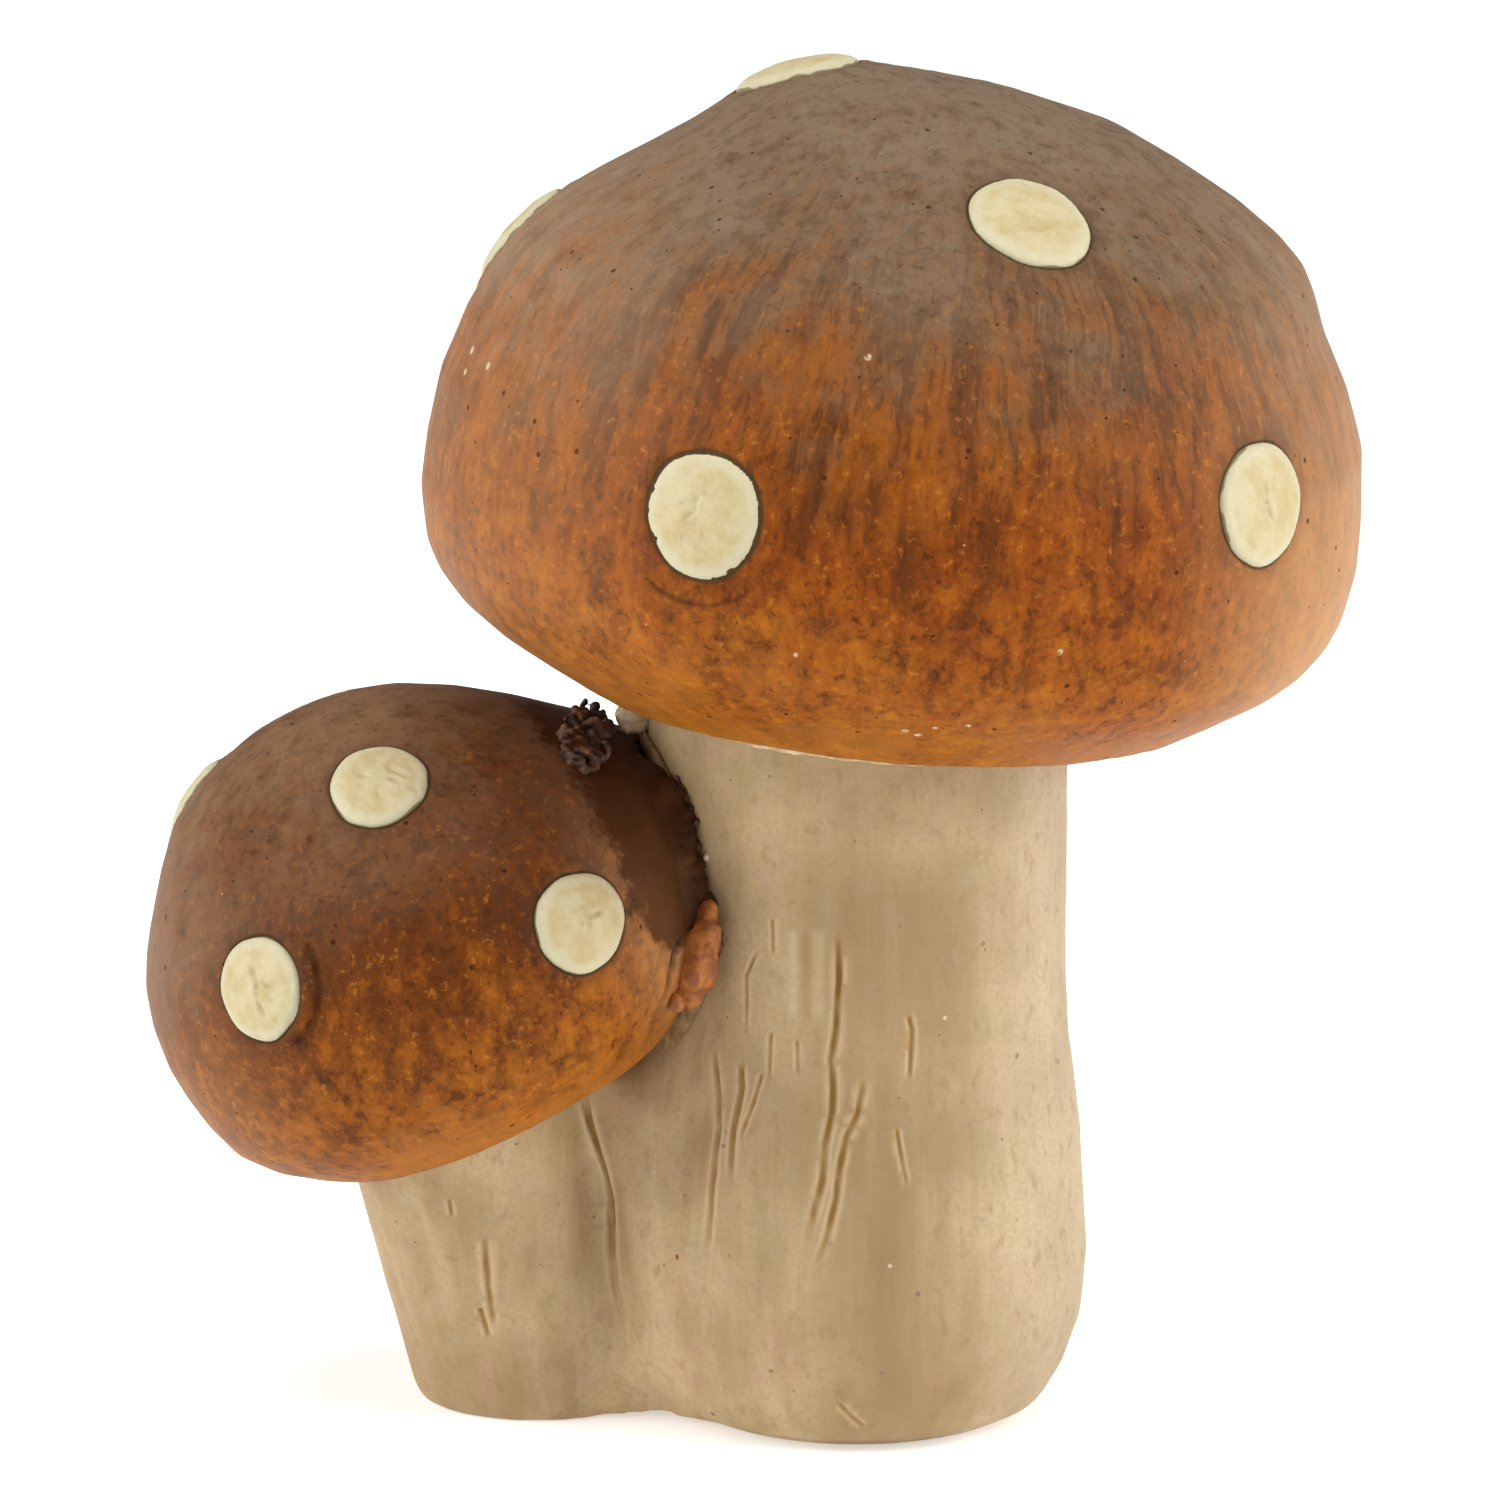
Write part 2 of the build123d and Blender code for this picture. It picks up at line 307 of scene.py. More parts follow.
# %% [markdown]
# ## Pressing lines into clay
# A blunt tool pushes a groove and leaves a low burr at its sides. The line is traced on the skin, the
# skin is cut finer beside it, and the depth and width vary along the way. How deep a point lies is
# written down for the material, because stain stays in a groove when the rest is wiped, and the burr
# is rubbed pale.


# %% A gouge along a traced line
# A gouge is its width and depth in millimetres, its spots of the picture, and the share of its length
# over which it fades out, where that isn't the usual one. A wide one is a valley and takes no stain.
usual_tail = 0.2
valley_width = 0.7


def gouge(piece, gouges):
    """Pushes traced lines into a piece and marks them for its material."""
    tree = tree_of(piece)
    lines = [
        (width, depth, traced(tree, spots), *(tail or [usual_tail])) for width, depth, spots, *tail in gouges
    ]
    lines = [line for line in lines if len(line[2]) > 1]

    def close(points, thin_only, beside):
        near = np.zeros(len(points), bool)
        for width, _, line, _ in lines:
            if width < valley_width or not thin_only:
                near |= from_line(points, line)[0] < width * 1.6 + beside
        return near

    finer(piece, lambda points: close(points, thin_only=False, beside=0.5))
    finer(piece, lambda points: close(points, thin_only=True, beside=0.5))
    finer(piece, lambda points: close(points, thin_only=True, beside=0.1))
    points = get_points(piece)
    move = np.zeros(len(points))
    mark = np.zeros(len(points))
    burr = np.zeros(len(points))
    ragged = lumps(points, (0.7, 0.7, 2.2), 41)
    for width, depth, line, tail in lines:
        distance, along = from_line(points, line)
        thin = width < valley_width
        ends = fade(along, 0, 0.12 if thin else 0.35) * fade(1 - along, 0, tail)
        broken = 0.6 if thin else 0.15
        rough = (1 + broken * ragged) * ends * (1 - 0.25 * along)
        wide = width * (1 + broken / 2 * ragged)
        move += depth * rough * (0.36 * bell(distance - 1.9 * width, width * 0.8) - bell(distance, wide))
        deep = bell(distance, wide * 1.15) * min(1, depth / width) + 0.14 * bell(distance, width + 1.0)
        mark = np.maximum(mark, rough * deep * thin)
        burr = np.maximum(burr, ends * bell(distance - 2.1 * width, width) * thin)
    swell(piece, move)
    set_mark(piece, "gouge", mark)
    set_mark(piece, "burr", burr)
    print(piece.name, "gouges:", len(lines), "faces:", len(piece.data.polygons))


# %% [markdown]
# ## The spots' seats
# Each spot is a pellet of pale clay that was pressed into the cap. The measured model has its
# place, so the middle and the direction of each pellet are read from it. The flattest direction of
# its points is the one that it faces.


# %% Middles and directions of the spots
class Seat:
    """Where a spot sits: its middle on the skin, the directions across, up and out, and its radius."""

    def __init__(self, node, cap_place, radius):
        points = np.array([v.co[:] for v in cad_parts[node].data.vertices]) / MM
        middle = (points.min(0) + points.max(0)) / 2
        out = np.linalg.svd(points - points.mean(0), full_matrices=False)[2][2]
        if out @ (middle - np.array(cap_place.translation) / MM) < 0:
            out = -out
        across = np.cross((0, 0, 1), out)
        across /= np.linalg.norm(across)
        self.node = node
        self.out = out
        self.axes = np.array([across, np.cross(out, across), out])
        heights = (points - middle) @ out
        self.middle = middle + out * (heights.max() - 0.5)
        self.radius = radius
        self.seed = len(node) + int(node[-1]) * 3

    def local(self, points):
        """Points as across, up and out of this seat."""
        return (points - self.middle) @ self.axes.T

    def world(self, local):
        """Places across, up and out of this seat, in the shared frame."""
        return local @ self.axes + self.middle

    def reach(self, turn):
        """The radius of the pressed outline in each direction."""
        wave = 0.030 * np.cos(2 * turn + self.seed) + 0.018 * np.cos(3 * turn + 2 * self.seed)
        return self.radius * (1 + wave + 0.008 * np.cos(7 * turn + self.seed))


large_spot_radius = 6.05
small_spot_radius = 5.0
large_seats = [Seat(f"large_spot_{i}", large_cap_place, large_spot_radius) for i in range(1, 10)]
small_seats = [Seat(f"small_spot_{i}", small_cap_place, small_spot_radius) for i in range(1, 7)]
print("seats:", len(large_seats) + len(small_seats))

# %% [markdown]
# ## Closing the skin under a spot
# The copy has stepped edges where its spots were. A shallow bowl is fitted to the ring of skin
# around each seat, and the points under the spot are laid on it. A thin gap stays open round the
# pellet, where the glaze drew back and left a dark line.


# %% Laying the skin under a spot
# In millimetres: how far from a seat's plane its skin lies, how far beyond the spot it is laid anew,
# how far out the ring reaches that shapes it, and the gap written where no spot is near.
seat_skin = 3.6
laid_beyond = 1.2
ring_beyond = 3.4
no_spot_near = 9.0


def bowl_terms(across, up):
    """The six terms of a shallow bowl."""
    return np.stack([np.ones_like(across), across, up, across ** 2, across * up, up ** 2], axis=1)


def close_seat(points, seat):
    """Lays the points under a spot on the bowl of the skin around it."""
    local = seat.local(points)
    distance = np.hypot(local[:, 0], local[:, 1])
    skin = np.abs(local[:, 2]) < seat_skin
    ring = skin & (distance > seat.radius + laid_beyond) & (distance < seat.radius + ring_beyond)
    inside = skin & (distance < seat.radius + laid_beyond)
    bowl, *_ = np.linalg.lstsq(bowl_terms(local[ring, 0], local[ring, 1]), local[ring, 2], rcond=None)
    local[inside, 2] = bowl_terms(local[inside, 0], local[inside, 1]) @ bowl
    seat.bowl = bowl
    points[inside] = seat.world(local[inside])
    return points


def gap_to(points, seats):
    """Each point's distance from the nearest spot's outline, below zero under the spot."""
    nearest = np.full(len(points), no_spot_near)
    for seat in seats:
        local = seat.local(points)
        distance = np.hypot(local[:, 0], local[:, 1]) - seat.reach(np.arctan2(local[:, 1], local[:, 0]))
        distance[np.abs(local[:, 2]) > 4] = no_spot_near
        nearest = np.minimum(nearest, distance)
    return nearest


# %% [markdown]
# ## The large cap
# The cap is a hollow bun. Nothing of its inside can be seen, so a plug closes it before the remesh
# and the fine skin is spent on the outside. It gets slow waves, brush strokes that run down from
# the tip like the lines between an orange's segments, the bulge that the pressed spot left in front
# with a lip below it, and a thin open line round each spot.


# %% A cap's brushed and dented skin
def brushed(local, width, seed):
    """Strokes that run down a cap from its tip."""
    turn = np.arctan2(local[:, 1], local[:, 0])
    size = np.abs(local[:, :2]).max()
    strokes = np.stack([np.cos(turn) * size, np.sin(turn) * size, local[:, 2] / 9], axis=1)
    return lumps(strokes, width, seed)


def shape_cap(piece, cap_place, seats, seed):
    """Closes the seats and gives a cap its waves, its strokes and the lines round its spots."""
    points = get_points(piece)
    for seat in seats:
        points = close_seat(points, seat)
    set_points(piece, points)
    finer(piece, lambda p: np.abs(gap_to(p, seats) - 0.1) < 1.0)
    points = get_points(piece)
    local = within(cap_place, points)
    gap = gap_to(points, seats)
    outside = fade(gap, -0.2, 0.6)
    move = -0.20 + 0.16 * lumps(points, 14, seed) + 0.05 * lumps(points, 4.5, seed + 1)
    move += 0.05 * brushed(local, 2.6, seed) * outside
    move -= 0.18 * bell(gap - 0.08, 0.24)
    move += 0.07 * bell(gap - 1.0, 0.5)
    swell(piece, move)


# %% The large cap
clay = copy_of("large_cap", *[seat.node for seat in large_seats])
hollow = large_cap_place @ Matrix.Translation(Vector((-2, 0, -15.6)) * MM)
plug(clay, hollow, radius=19.5)
large_cap = even_skin(clay, "large_cap_clay", size=0.66)
soften(large_cap, rounds=2)
shape_cap(large_cap, large_cap_place, large_seats, seed=1)
print("large cap faces:", len(large_cap.data.polygons))

# %% The bulge and the lip below the front spot
# Spots of the picture along the lip's edge and along a scratch near the top, and in millimetres how
# far from the spot's middle the bulge reaches and the lip and its two hollows lie
front_lip = [(640, 571), (658, 590), (684, 603), (713, 606), (740, 599), (762, 582)]
top_scratch = [(713, 166), (745, 155), (780, 146), (813, 140)]
bulge_reach = 8.5
lip_radius, outer_hollow, inner_hollow = 8.6, 10.3, 7.8
front = large_seats[0]
points = get_points(large_cap)
local = front.local(points)
distance = np.hypot(local[:, 0], local[:, 1])
turn = np.degrees(np.arctan2(local[:, 1], local[:, 0]))
skin = np.abs(local[:, 2]) < 6
below = fade(-local[:, 1], 2, 7) * skin
bulge = 0.5 * bell(distance, bulge_reach) * skin
lip = 0.38 * bell(distance - lip_radius, 0.7) * below - 0.30 * bell(distance - outer_hollow, 0.8) * below
lip -= 0.12 * bell(distance - inner_hollow, 0.8) * below
swell(large_cap, bulge + lip)
gouge(large_cap, [(0.30, 0.26, front_lip), (0.30, 0.10, top_scratch)])
set_mark(large_cap, "gap", gap_to(get_points(large_cap), large_seats))
print("bulge in mm:", round(bulge.max(), 2))

# %% [markdown]
# ## The small cap
# It was bitten by the large stem when the two were pressed together. The copy already has that
# bite. Clay was squeezed out along the joint: lumps are joined to the cap by its remesh and sponged
# down to a low fillet, and the skin there is torn in and out. The egg-shaped spot on the left has a
# raised rim where the pellet pushed the clay up, and a fold runs down beside the torn flap.


# %% Lumps of clay
def add_lumps(clay, found):
    """Adds round lumps to a bmesh, each a middle and three radii in millimetres."""
    for number, (middle, radii) in enumerate(found):
        turn = Euler((number * 1.3, number * 2.1, number * 0.7)).to_matrix().to_4x4()
        size = Matrix.Diagonal((*[r * MM for r in radii], 1))
        spot = Matrix.Translation(Vector(middle) * MM)
        bmesh.ops.create_icosphere(clay, subdivisions=2, radius=1, matrix=spot @ turn @ size)


# %% Clay squeezed out where the small cap meets the large stem
measured_cap = copy_of("small_cap")
measured_tree = BVHTree.FromBMesh(measured_cap)
measured_cap.free()
squeezed = []
squeezed_out = large_waist + 0.9
joint_reach = 0.8 * MM
joint_heights = np.arange(50, 69, 0.5)
joint_turns = np.arange(100, 260, 1.5)
chance = np.random.default_rng(12)
for height in joint_heights:
    turns = np.radians(joint_turns)
    ring = np.stack([np.cos(turns) * squeezed_out, np.sin(turns) * squeezed_out], axis=1)
    near = [measured_tree.find_nearest(Vector((x, y, height)) * MM)[3] < joint_reach for x, y in ring]
    touching = ring[np.array(near)]
    if len(touching):
        for x, y in (touching[0], touching[-1]):
            push = chance.normal(0, 0.25, 3)
            radii = chance.uniform(1.2, 1.9, 3)
            squeezed.append(((x + push[0], y + push[1], height + push[2]), radii))
print("squeezed lumps:", len(squeezed))

# %% The small cap
clay = copy_of("small_cap", *[seat.node for seat in small_seats])
add_lumps(clay, squeezed)
small_cap = even_skin(clay, "small_cap_clay", size=0.6)
soften(small_cap, rounds=2)
points = get_points(small_cap)
from_stem = np.hypot(points[:, 0], points[:, 1]) - large_waist
sponge(small_cap, fade(-from_stem, -5, -2.5) * fade(points[:, 2], 46, 50), rounds=18)
shape_cap(small_cap, small_cap_place, small_seats, seed=5)

# %% The torn skin beside the joint, and the raised rim
finer(small_cap, lambda p: (np.hypot(p[:, 0], p[:, 1]) < large_waist + 4) & (p[:, 2] > 46))
points = get_points(small_cap)
from_stem = np.hypot(points[:, 0], points[:, 1]) - large_waist
torn = fade(-from_stem, -3.6, -0.9)
move = 0.42 * torn * (lumps(points, 1.6, 31) + 0.7 * lumps(points, 0.8, 32) - 0.2)
rim = small_seats[2].local(points)
side = fade(rim[:, 0], 0, 4) * (np.abs(rim[:, 2]) < 4)
move += 0.45 * side * bell(np.hypot(rim[:, 0], rim[:, 1]) - 5.6, 0.8)
swell(small_cap, move)

# %% The fold beside the flap, and where the cap is dark
flap_fold = [(684, 936), (674, 952), (670, 974), (666, 992), (657, 1010)]
raised_rim = [(304, 938), (315, 962), (319, 990), (316, 1016), (303, 1038), (281, 1049)]
gouge(small_cap, [(0.42, 0.60, flap_fold), (0.40, 0.36, raised_rim)])
points = get_points(small_cap)
from_stem = np.hypot(points[:, 0], points[:, 1]) - large_waist
set_mark(small_cap, "gap", gap_to(points, small_seats))
set_mark(small_cap, "torn", fade(-from_stem, -7, -1) * fade(points[:, 2], 46, 52))
set_mark(small_cap, "shade", fade(-from_stem, -22, -3) * fade(points[:, 2], 48, 57))
print("small cap faces:", len(small_cap.data.polygons))

# %% [markdown]
# ## The stems
# The large stem is a tube that was rolled and drawn up by hand. In the real piece the two stems and
# the clay worked in between them are one lump, so copies of the three measured solids are joined by
# one remesh, with a little more clay between the feet. The fold between them is sharp under the
# small cap, and a wet sponge turned it into a wide soft valley lower down. Long flat facets run up
# the stems, from the heel of a hand, and a blunt tool left gouges.

# %% Gouges of the stems: width and depth in millimetres, then spots of the picture
stem_gouges = [
    (0.29, 0.39, [(838, 925), (839, 978), (836, 1025), (831, 1059), (833, 1087), (832, 1112), (825, 1144),
                  (822, 1181), (814, 1212), (803, 1256)]),
    (0.27, 0.34, [(864, 1073), (858, 1112), (846, 1137), (839, 1169), (836, 1197), (827, 1237), (814, 1271)]),
    (0.21, 0.24, [(908, 1013), (912, 1030), (911, 1050), (909, 1082)]),
    (0.18, 0.17, [(896, 1126), (902, 1162), (907, 1188)]),
    (0.28, 0.32, [(713, 1043), (718, 1087), (719, 1126), (714, 1170), (710, 1209), (703, 1260)]),
    (0.28, 0.32, [(740, 1057), (742, 1087), (733, 1131), (730, 1185)]),
    (0.18, 0.17, [(763, 1070), (753, 1103), (740, 1138)]),
    (0.18, 0.15, [(757, 950), (746, 975), (746, 1034)]),
    (0.18, 0.14, [(772, 917), (773, 956)]),
    (0.60, 0.14, [(805, 925), (805, 1028)]),
    (0.18, 0.14, [(771, 1030), (769, 1078)]),
    (0.18, 0.14, [(797, 1038), (798, 1076)]),
    (1.40, 0.50, [(862, 1180), (866, 1235), (867, 1330)]),
    (1.40, 0.50, [(716, 1188), (711, 1268), (717, 1320), (715, 1380)]),
    (1.20, 0.36, [(772, 1100), (766, 1200), (772, 1290)]),
    (1.20, 0.30, [(930, 1130), (936, 1220), (940, 1310)]),
    (1.30, 0.34, [(655, 1120), (668, 1200), (664, 1290)]),
    (0.21, 0.19, [(838, 1402), (865, 1428)]),
    (0.27, 0.37, [(484, 1234), (488, 1286), (494, 1328)]),
    (0.24, 0.26, [(480, 1307), (489, 1338)]),
    (0.18, 0.17, [(449, 1199), (452, 1217)]),
    (1.20, 0.36, [(413, 1184), (428, 1255), (440, 1308)]),
    (1.20, 0.34, [(530, 1150), (541, 1240), (548, 1330)]),
]
fold_line = [(582, 1088), (589, 1120), (597, 1146), (604, 1172), (608, 1200), (608, 1237), (611, 1276),
             (619, 1318), (624, 1366)]
valley_line = [(596, 1142), (606, 1215), (609, 1262), (617, 1318), (624, 1376)]


def hand_rolled(piece, seed, depth=0.28):
    """Long flat facets and a fine uneven skin. It only takes clay away, so the size stays."""
    points = get_points(piece)
    facets = lumps(points, (6.5, 6.5, 34), seed)
    low = fade(points[:, 2], 0.3, 2.5)
    ridges = lumps(points, (2.4, 2.4, 18), seed + 3)
    fingers = 0.08 * lumps(points, 5, seed + 1)
    move = depth * (facets - 0.45) + 0.09 * ridges + fingers + 0.04 * lumps(points, 1.7, seed + 2)
    swell(piece, move * low)


# %% The two stems and the clay between them
clay = copy_of("large_stem", "stem_web", "small_stem")
for height in (6, 70):
    plug(clay, place(0, 0, height), radius=17)
for height in (8, 33):
    plug(clay, small_stem_place @ Matrix.Translation(Vector((-6, 0, height)) * MM), radius=3)
between_feet = place(-23.5, -0.5, 7.9)
bmesh.ops.create_cone(
    clay, cap_ends=True, segments=48, radius1=6.2 * MM, radius2=3 * MM, depth=15 * MM, matrix=between_feet
)
stems = even_skin(clay, "stems_clay", size=0.68)
soften(stems, rounds=3)

# %% The sponge in the fold, then hands and tools
# The fold leans left as it rises. The sponge works on both sides of it, and on a ledge higher up.
fold_foot, fold_lean, sponge_reach = -23.4, 0.11, 7
points = get_points(stems)
fold = fold_foot - fold_lean * points[:, 2]
low_fold = fade(sponge_reach - np.abs(points[:, 0] - fold), 0, 4)
low_fold = low_fold * fade(27 - points[:, 2], 0, 12) * fade(points[:, 2], 0.2, 1.0)
ledge = fade(points[:, 0], -27, -23) * fade(-points[:, 0], 10, 14) * bell(points[:, 2] - 38, 5)
sponge(stems, low_fold, rounds=100)
sponge(stems, ledge, rounds=150)
hand_rolled(stems, seed=11)
gouge(stems, stem_gouges + [(0.28, 0.60, fold_line, 0.8), (1.80, 0.90, valley_line)])

# %% [markdown]
# ## Slip, crumbs and the torn edge
# Slip is the liquid clay that glues the bodies. Where the small cap was pushed on, crumbs of glaze
# and clay came up beside it, and a flap tore off its edge. Each is a heap of small lumps that one
# remesh joins, as wet crumbs stick together. The lumps lie on the skin that the picture shows there.
# The pale ones fill the corner under the large cap, where the picture shows no skin, so they keep
# the depth of the measured ones. A line of bits follows the torn edge all round the joint.


# %% Heaps of small lumps
def heap(name, lumps_of_clay, skin, rough, seed):
    """One piece from lumps, each a middle and three radii in millimetres."""
    clay = bmesh.new()
    add_lumps(clay, lumps_of_clay)
    piece = even_skin(clay, name, skin)
    soften(piece, rounds=1)
    points = get_points(piece)
    move = rough * lumps(points, 0.9, seed) + rough * 0.5 * lumps(points, 0.4, seed + 1)
    swell(piece, move)
    print(name, "lumps:", len(lumps_of_clay))
    return piece


def hung(column, row, depth):
    """The place seen at a spot of the picture, at a distance behind the middle in millimetres."""
    start = np.array(camera.location) / MM
    middle = frame_pixels / 2
    right = np.array((column - middle, 0, 0)) / pixels_a_mm
    through = np.array(aim) / MM + right + np.array(look_up) * (middle - row) / pixels_a_mm
    return start + (through - start) * (depth - start[1]) / (through - start)[1]


def clump(seed, count, middle, reach, small, big, deep, depth=None):
    """Lumps in an oval of the picture, on the skin seen there or at a depth, always the same ones."""
    chance = np.random.default_rng(seed)
    found = []
    for _ in range(count):
        turn = chance.uniform(0, math.tau)
        out = math.sqrt(chance.random())
        column = middle[0] + reach[0] * out * math.cos(turn)
        row = middle[1] + reach[1] * out * math.sin(turn)
        lift = np.array((0, -0.45, 0.9)) * chance.uniform(0, deep)
        radii = chance.uniform(small, big, 3)
        spot = hung(column, row, depth) if depth else first_seen((cap_tree, stem_tree), column, row)
        if spot is not None:
            found.append((spot + lift, radii))
    return found


# %% Crumbs beside the joint, where the picture shows them
cap_tree = tree_of(small_cap)
stem_tree = tree_of(stems)
brown_middle, brown_reach = (587, 742), (25, 31)
pale_middle, pale_reach = (633, 718), (13, 15)
measured_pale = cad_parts["pale_crumbs"].data.vertices
pale_depth = sum(v.co.y for v in measured_pale) / MM / len(measured_pale)
pale_bead = (706, 857)
brown = clump(3, 120, brown_middle, brown_reach, small=0.30, big=0.85, deep=1.2)
brown_crumbs = heap("brown_crumb_clump", brown, skin=0.20, rough=0.16, seed=51)
pale = clump(8, 70, pale_middle, pale_reach, small=0.40, big=1.00, deep=1.0, depth=pale_depth)
print("pale crumbs' depth in mm:", round(pale_depth, 1))
pale.append((first_seen((cap_tree, stem_tree), *pale_bead), (0.45, 0.4, 0.5)))
pale_crumbs = heap("pale_crumb_clump", pale, skin=0.24, rough=0.14, seed=61)

# %% Crumbs along the torn edge, where the small cap's skin meets the large stem
joint = []
for point in get_points(small_cap):
    close_by = stem_tree.find_nearest(Vector(point) * MM, 0.4 * MM)[0]
    if close_by and point[2] > 50 and math.hypot(point[0], point[1]) < large_waist + 2.5:
        joint.append(point)
edge_bits = 240
chance = np.random.default_rng(5)
chosen = chance.integers(0, len(joint), edge_bits)
bits = [(joint[i] + chance.normal(0, 0.15, 3), chance.uniform(0.22, 0.55, 3)) for i in chosen]
edge_crumbs = heap("edge_crumb_line", bits, skin=0.20, rough=0.12, seed=81)

# %% The torn flap: spots of the picture down it, and three radii of a lobe in millimetres at each
flap_lobes = [
    ((705, 918), (1.3, 1.0, 2.0)),
    ((702, 942), (2.0, 1.2, 2.8)),
    ((692, 950), (2.2, 1.0, 2.3)),
    ((697, 970), (2.4, 1.3, 2.4)),
    ((685, 976), (2.2, 1.0, 2.0)),
    ((685, 992), (2.2, 1.1, 1.5)),
    ((672, 1003), (1.5, 0.9, 1.0)),
]
flap_proud = np.array((0.2, -0.35, 0.1))
flap_lean = Euler((0, math.radians(16), math.radians(-42))).to_matrix().to_4x4()
clay = bmesh.new()
for (column, row), radii in flap_lobes:
    middle = first_seen((cap_tree, stem_tree), column, row) + flap_proud
    size = Matrix.Diagonal((*[r * MM for r in radii], 1))
    spot = Matrix.Translation(Vector(middle) * MM)
    bmesh.ops.create_icosphere(clay, subdivisions=3, radius=1, matrix=spot @ flap_lean @ size)
flap = even_skin(clay, "torn_flap_clay", size=0.28)
soften(flap, rounds=5)
points = get_points(flap)
rough = 0.22 * lumps(points, 1.7, 71) + 0.16 * lumps(points, 0.8, 72) + 0.06 * lumps(points, 0.4, 73)
swell(flap, rough)
print("flap faces:", len(flap.data.polygons))

# %% The bead of slip under the large cap
slip_ring = even_skin(copy_of("slip_ring"), "slip_bead", size=0.36)
soften(slip_ring, rounds=2)
points = get_points(slip_ring)
rough = -0.10 + 0.16 * lumps(points, 2.2, 91) + 0.06 * lumps(points, 0.8, 92)
swell(slip_ring, rough)
print("slip faces:", len(slip_ring.data.polygons))

# %% [markdown]
# ## The spots
# A spot is a ball of pale clay pressed flat with a thumb: a low dome with a soft edge that stands
# less than a millimetre proud. Its half outline is spun round into a disc, which is then bent to
# the bowl of the cap under it. Thumb dents and short drying cracks are pushed into the top.

# %% Spinning and pressing a spot
# The half outline, from the middle of the top to the middle of the bottom: a share of the spot's
# radius, and a height in millimetres
spot_profile = [
    (0.00, 0.72), (0.14, 0.72), (0.28, 0.71), (0.42, 0.69), (0.56, 0.66), (0.69, 0.61), (0.80, 0.54),
    (0.88, 0.45), (0.94, 0.32), (0.98, 0.14), (1.00, -0.10), (1.00, -0.50), (0.92, -0.90), (0.00, -0.90),
]
spot_steps = 44
spot_sunk = 0.12


def spot(seat, cracks=()):
    """A pressed pellet on its seat. Cracks are lines across and up, as shares of its radius.

    The disc is spun in millimetres, so MM is multiplied back in where its points are read.
    """
    clay = bmesh.new()
    outline = [clay.verts.new((share * seat.radius, 0, height)) for share, height in spot_profile]
    edges = [clay.edges.new(pair) for pair in zip(outline, outline[1:])]
    bmesh.ops.spin(
        clay, geom=outline + edges, cent=(0, 0, 0), axis=(0, 0, 1), dvec=(0, 0, 0),
        angle=math.tau, steps=spot_steps, use_merge=True, use_duplicate=False,
    )
    bmesh.ops.remove_doubles(clay, verts=clay.verts, dist=0.001)
    bmesh.ops.subdivide_edges(clay, edges=clay.edges, cuts=1, use_grid_fill=True, smooth=0)
    bmesh.ops.recalc_face_normals(clay, faces=clay.faces)
    piece = shown(clay, seat.node + "_clay")
    flat = get_points(piece) * MM
    turn = np.arctan2(flat[:, 1], flat[:, 0])
    share = np.hypot(flat[:, 0], flat[:, 1]) / seat.radius
    reach = seat.reach(turn) * share
    local = np.stack([reach * np.cos(turn), reach * np.sin(turn), flat[:, 2]], axis=1)
    bowl = bowl_terms(local[:, 0], local[:, 1]) @ seat.bowl
    top = fade(flat[:, 2], 0.0, 0.3)
    dents = 0.09 * lumps(local, 2.6, seat.seed) + 0.05 * lumps(local, 1.1, seat.seed + 1)
    dents -= 0.14 * fade(lumps(local, 0.9, seat.seed + 5), 0.30, 0.55)
    for line in cracks:
        drawn = np.array([(x * seat.radius, y * seat.radius, 0) for x, y in line])
        here = local.copy()
        here[:, 2] = 0
        distance, along = from_line(here, drawn)
        ends = fade(along, 0, 0.2) * fade(1 - along, 0, 0.2)
        dents += ends * (0.10 * bell(distance - 0.5, 0.25) - 0.28 * bell(distance, 0.22))
    local[:, 2] = flat[:, 2] + bowl - spot_sunk + dents * top
    set_points(piece, seat.world(local))
    set_mark(piece, "share", share + 0.03 * lumps(local, 1.5, seat.seed))
    return piece


# %% Each spot with the marks that the picture shows
spot_cracks = {
    "large_spot_1": [
        [(-0.40, 0.12), (-0.05, 0.30), (0.18, 0.42)], [(-0.05, 0.30), (-0.12, 0.05), (-0.30, -0.1)],
    ],
    "large_spot_2": [[(0.0, 0.45), (-0.1, 0.1), (0.05, -0.3)]],
    "large_spot_3": [[(-0.35, -0.2), (0.0, -0.28), (0.35, -0.2)]],
    "small_spot_1": [[(0.1, 0.35), (0.4, 0.2), (0.62, 0.1)], [(0.2, 0.05), (0.5, -0.05)]],
    "small_spot_2": [[(-0.1, 0.4), (0.1, 0.1), (0.0, -0.2)], [(0.1, 0.1), (0.4, 0.15)]],
    "small_spot_3": [
        [(-0.2, 0.5), (0.05, 0.2), (0.1, -0.2)], [(0.05, 0.2), (0.45, 0.1)], [(0.1, -0.2), (0.3, -0.5)],
    ],
}
spots = []
for seat in large_seats + small_seats:
    spots.append(spot(seat, spot_cracks.get(seat.node, ())))
print("faces of all spots:", sum(len(piece.data.polygons) for piece in spots))

# %% [markdown]
# ## Writing materials as sums
# A material is a graph of nodes, and its maths reads best as a sum. One small class wraps an output
# of a node, so that `1 - mask` or `a * b + c` adds the Math nodes that work it out. Every other
# kind of node is added by one method, with its settings first and then its sockets.


# %% A value of a material, and the material's maker
def paint(red, green, blue):
    """A colour as given, from 0 to 255, in the renderer's own units."""
    shares = [part / 255 for part in (red, green, blue)]
    linear = [((part + 0.055) / 1.055) ** 2.4 if part > 10 / 255 else part / 12.92 for part in shares]
    return (*linear, 1)


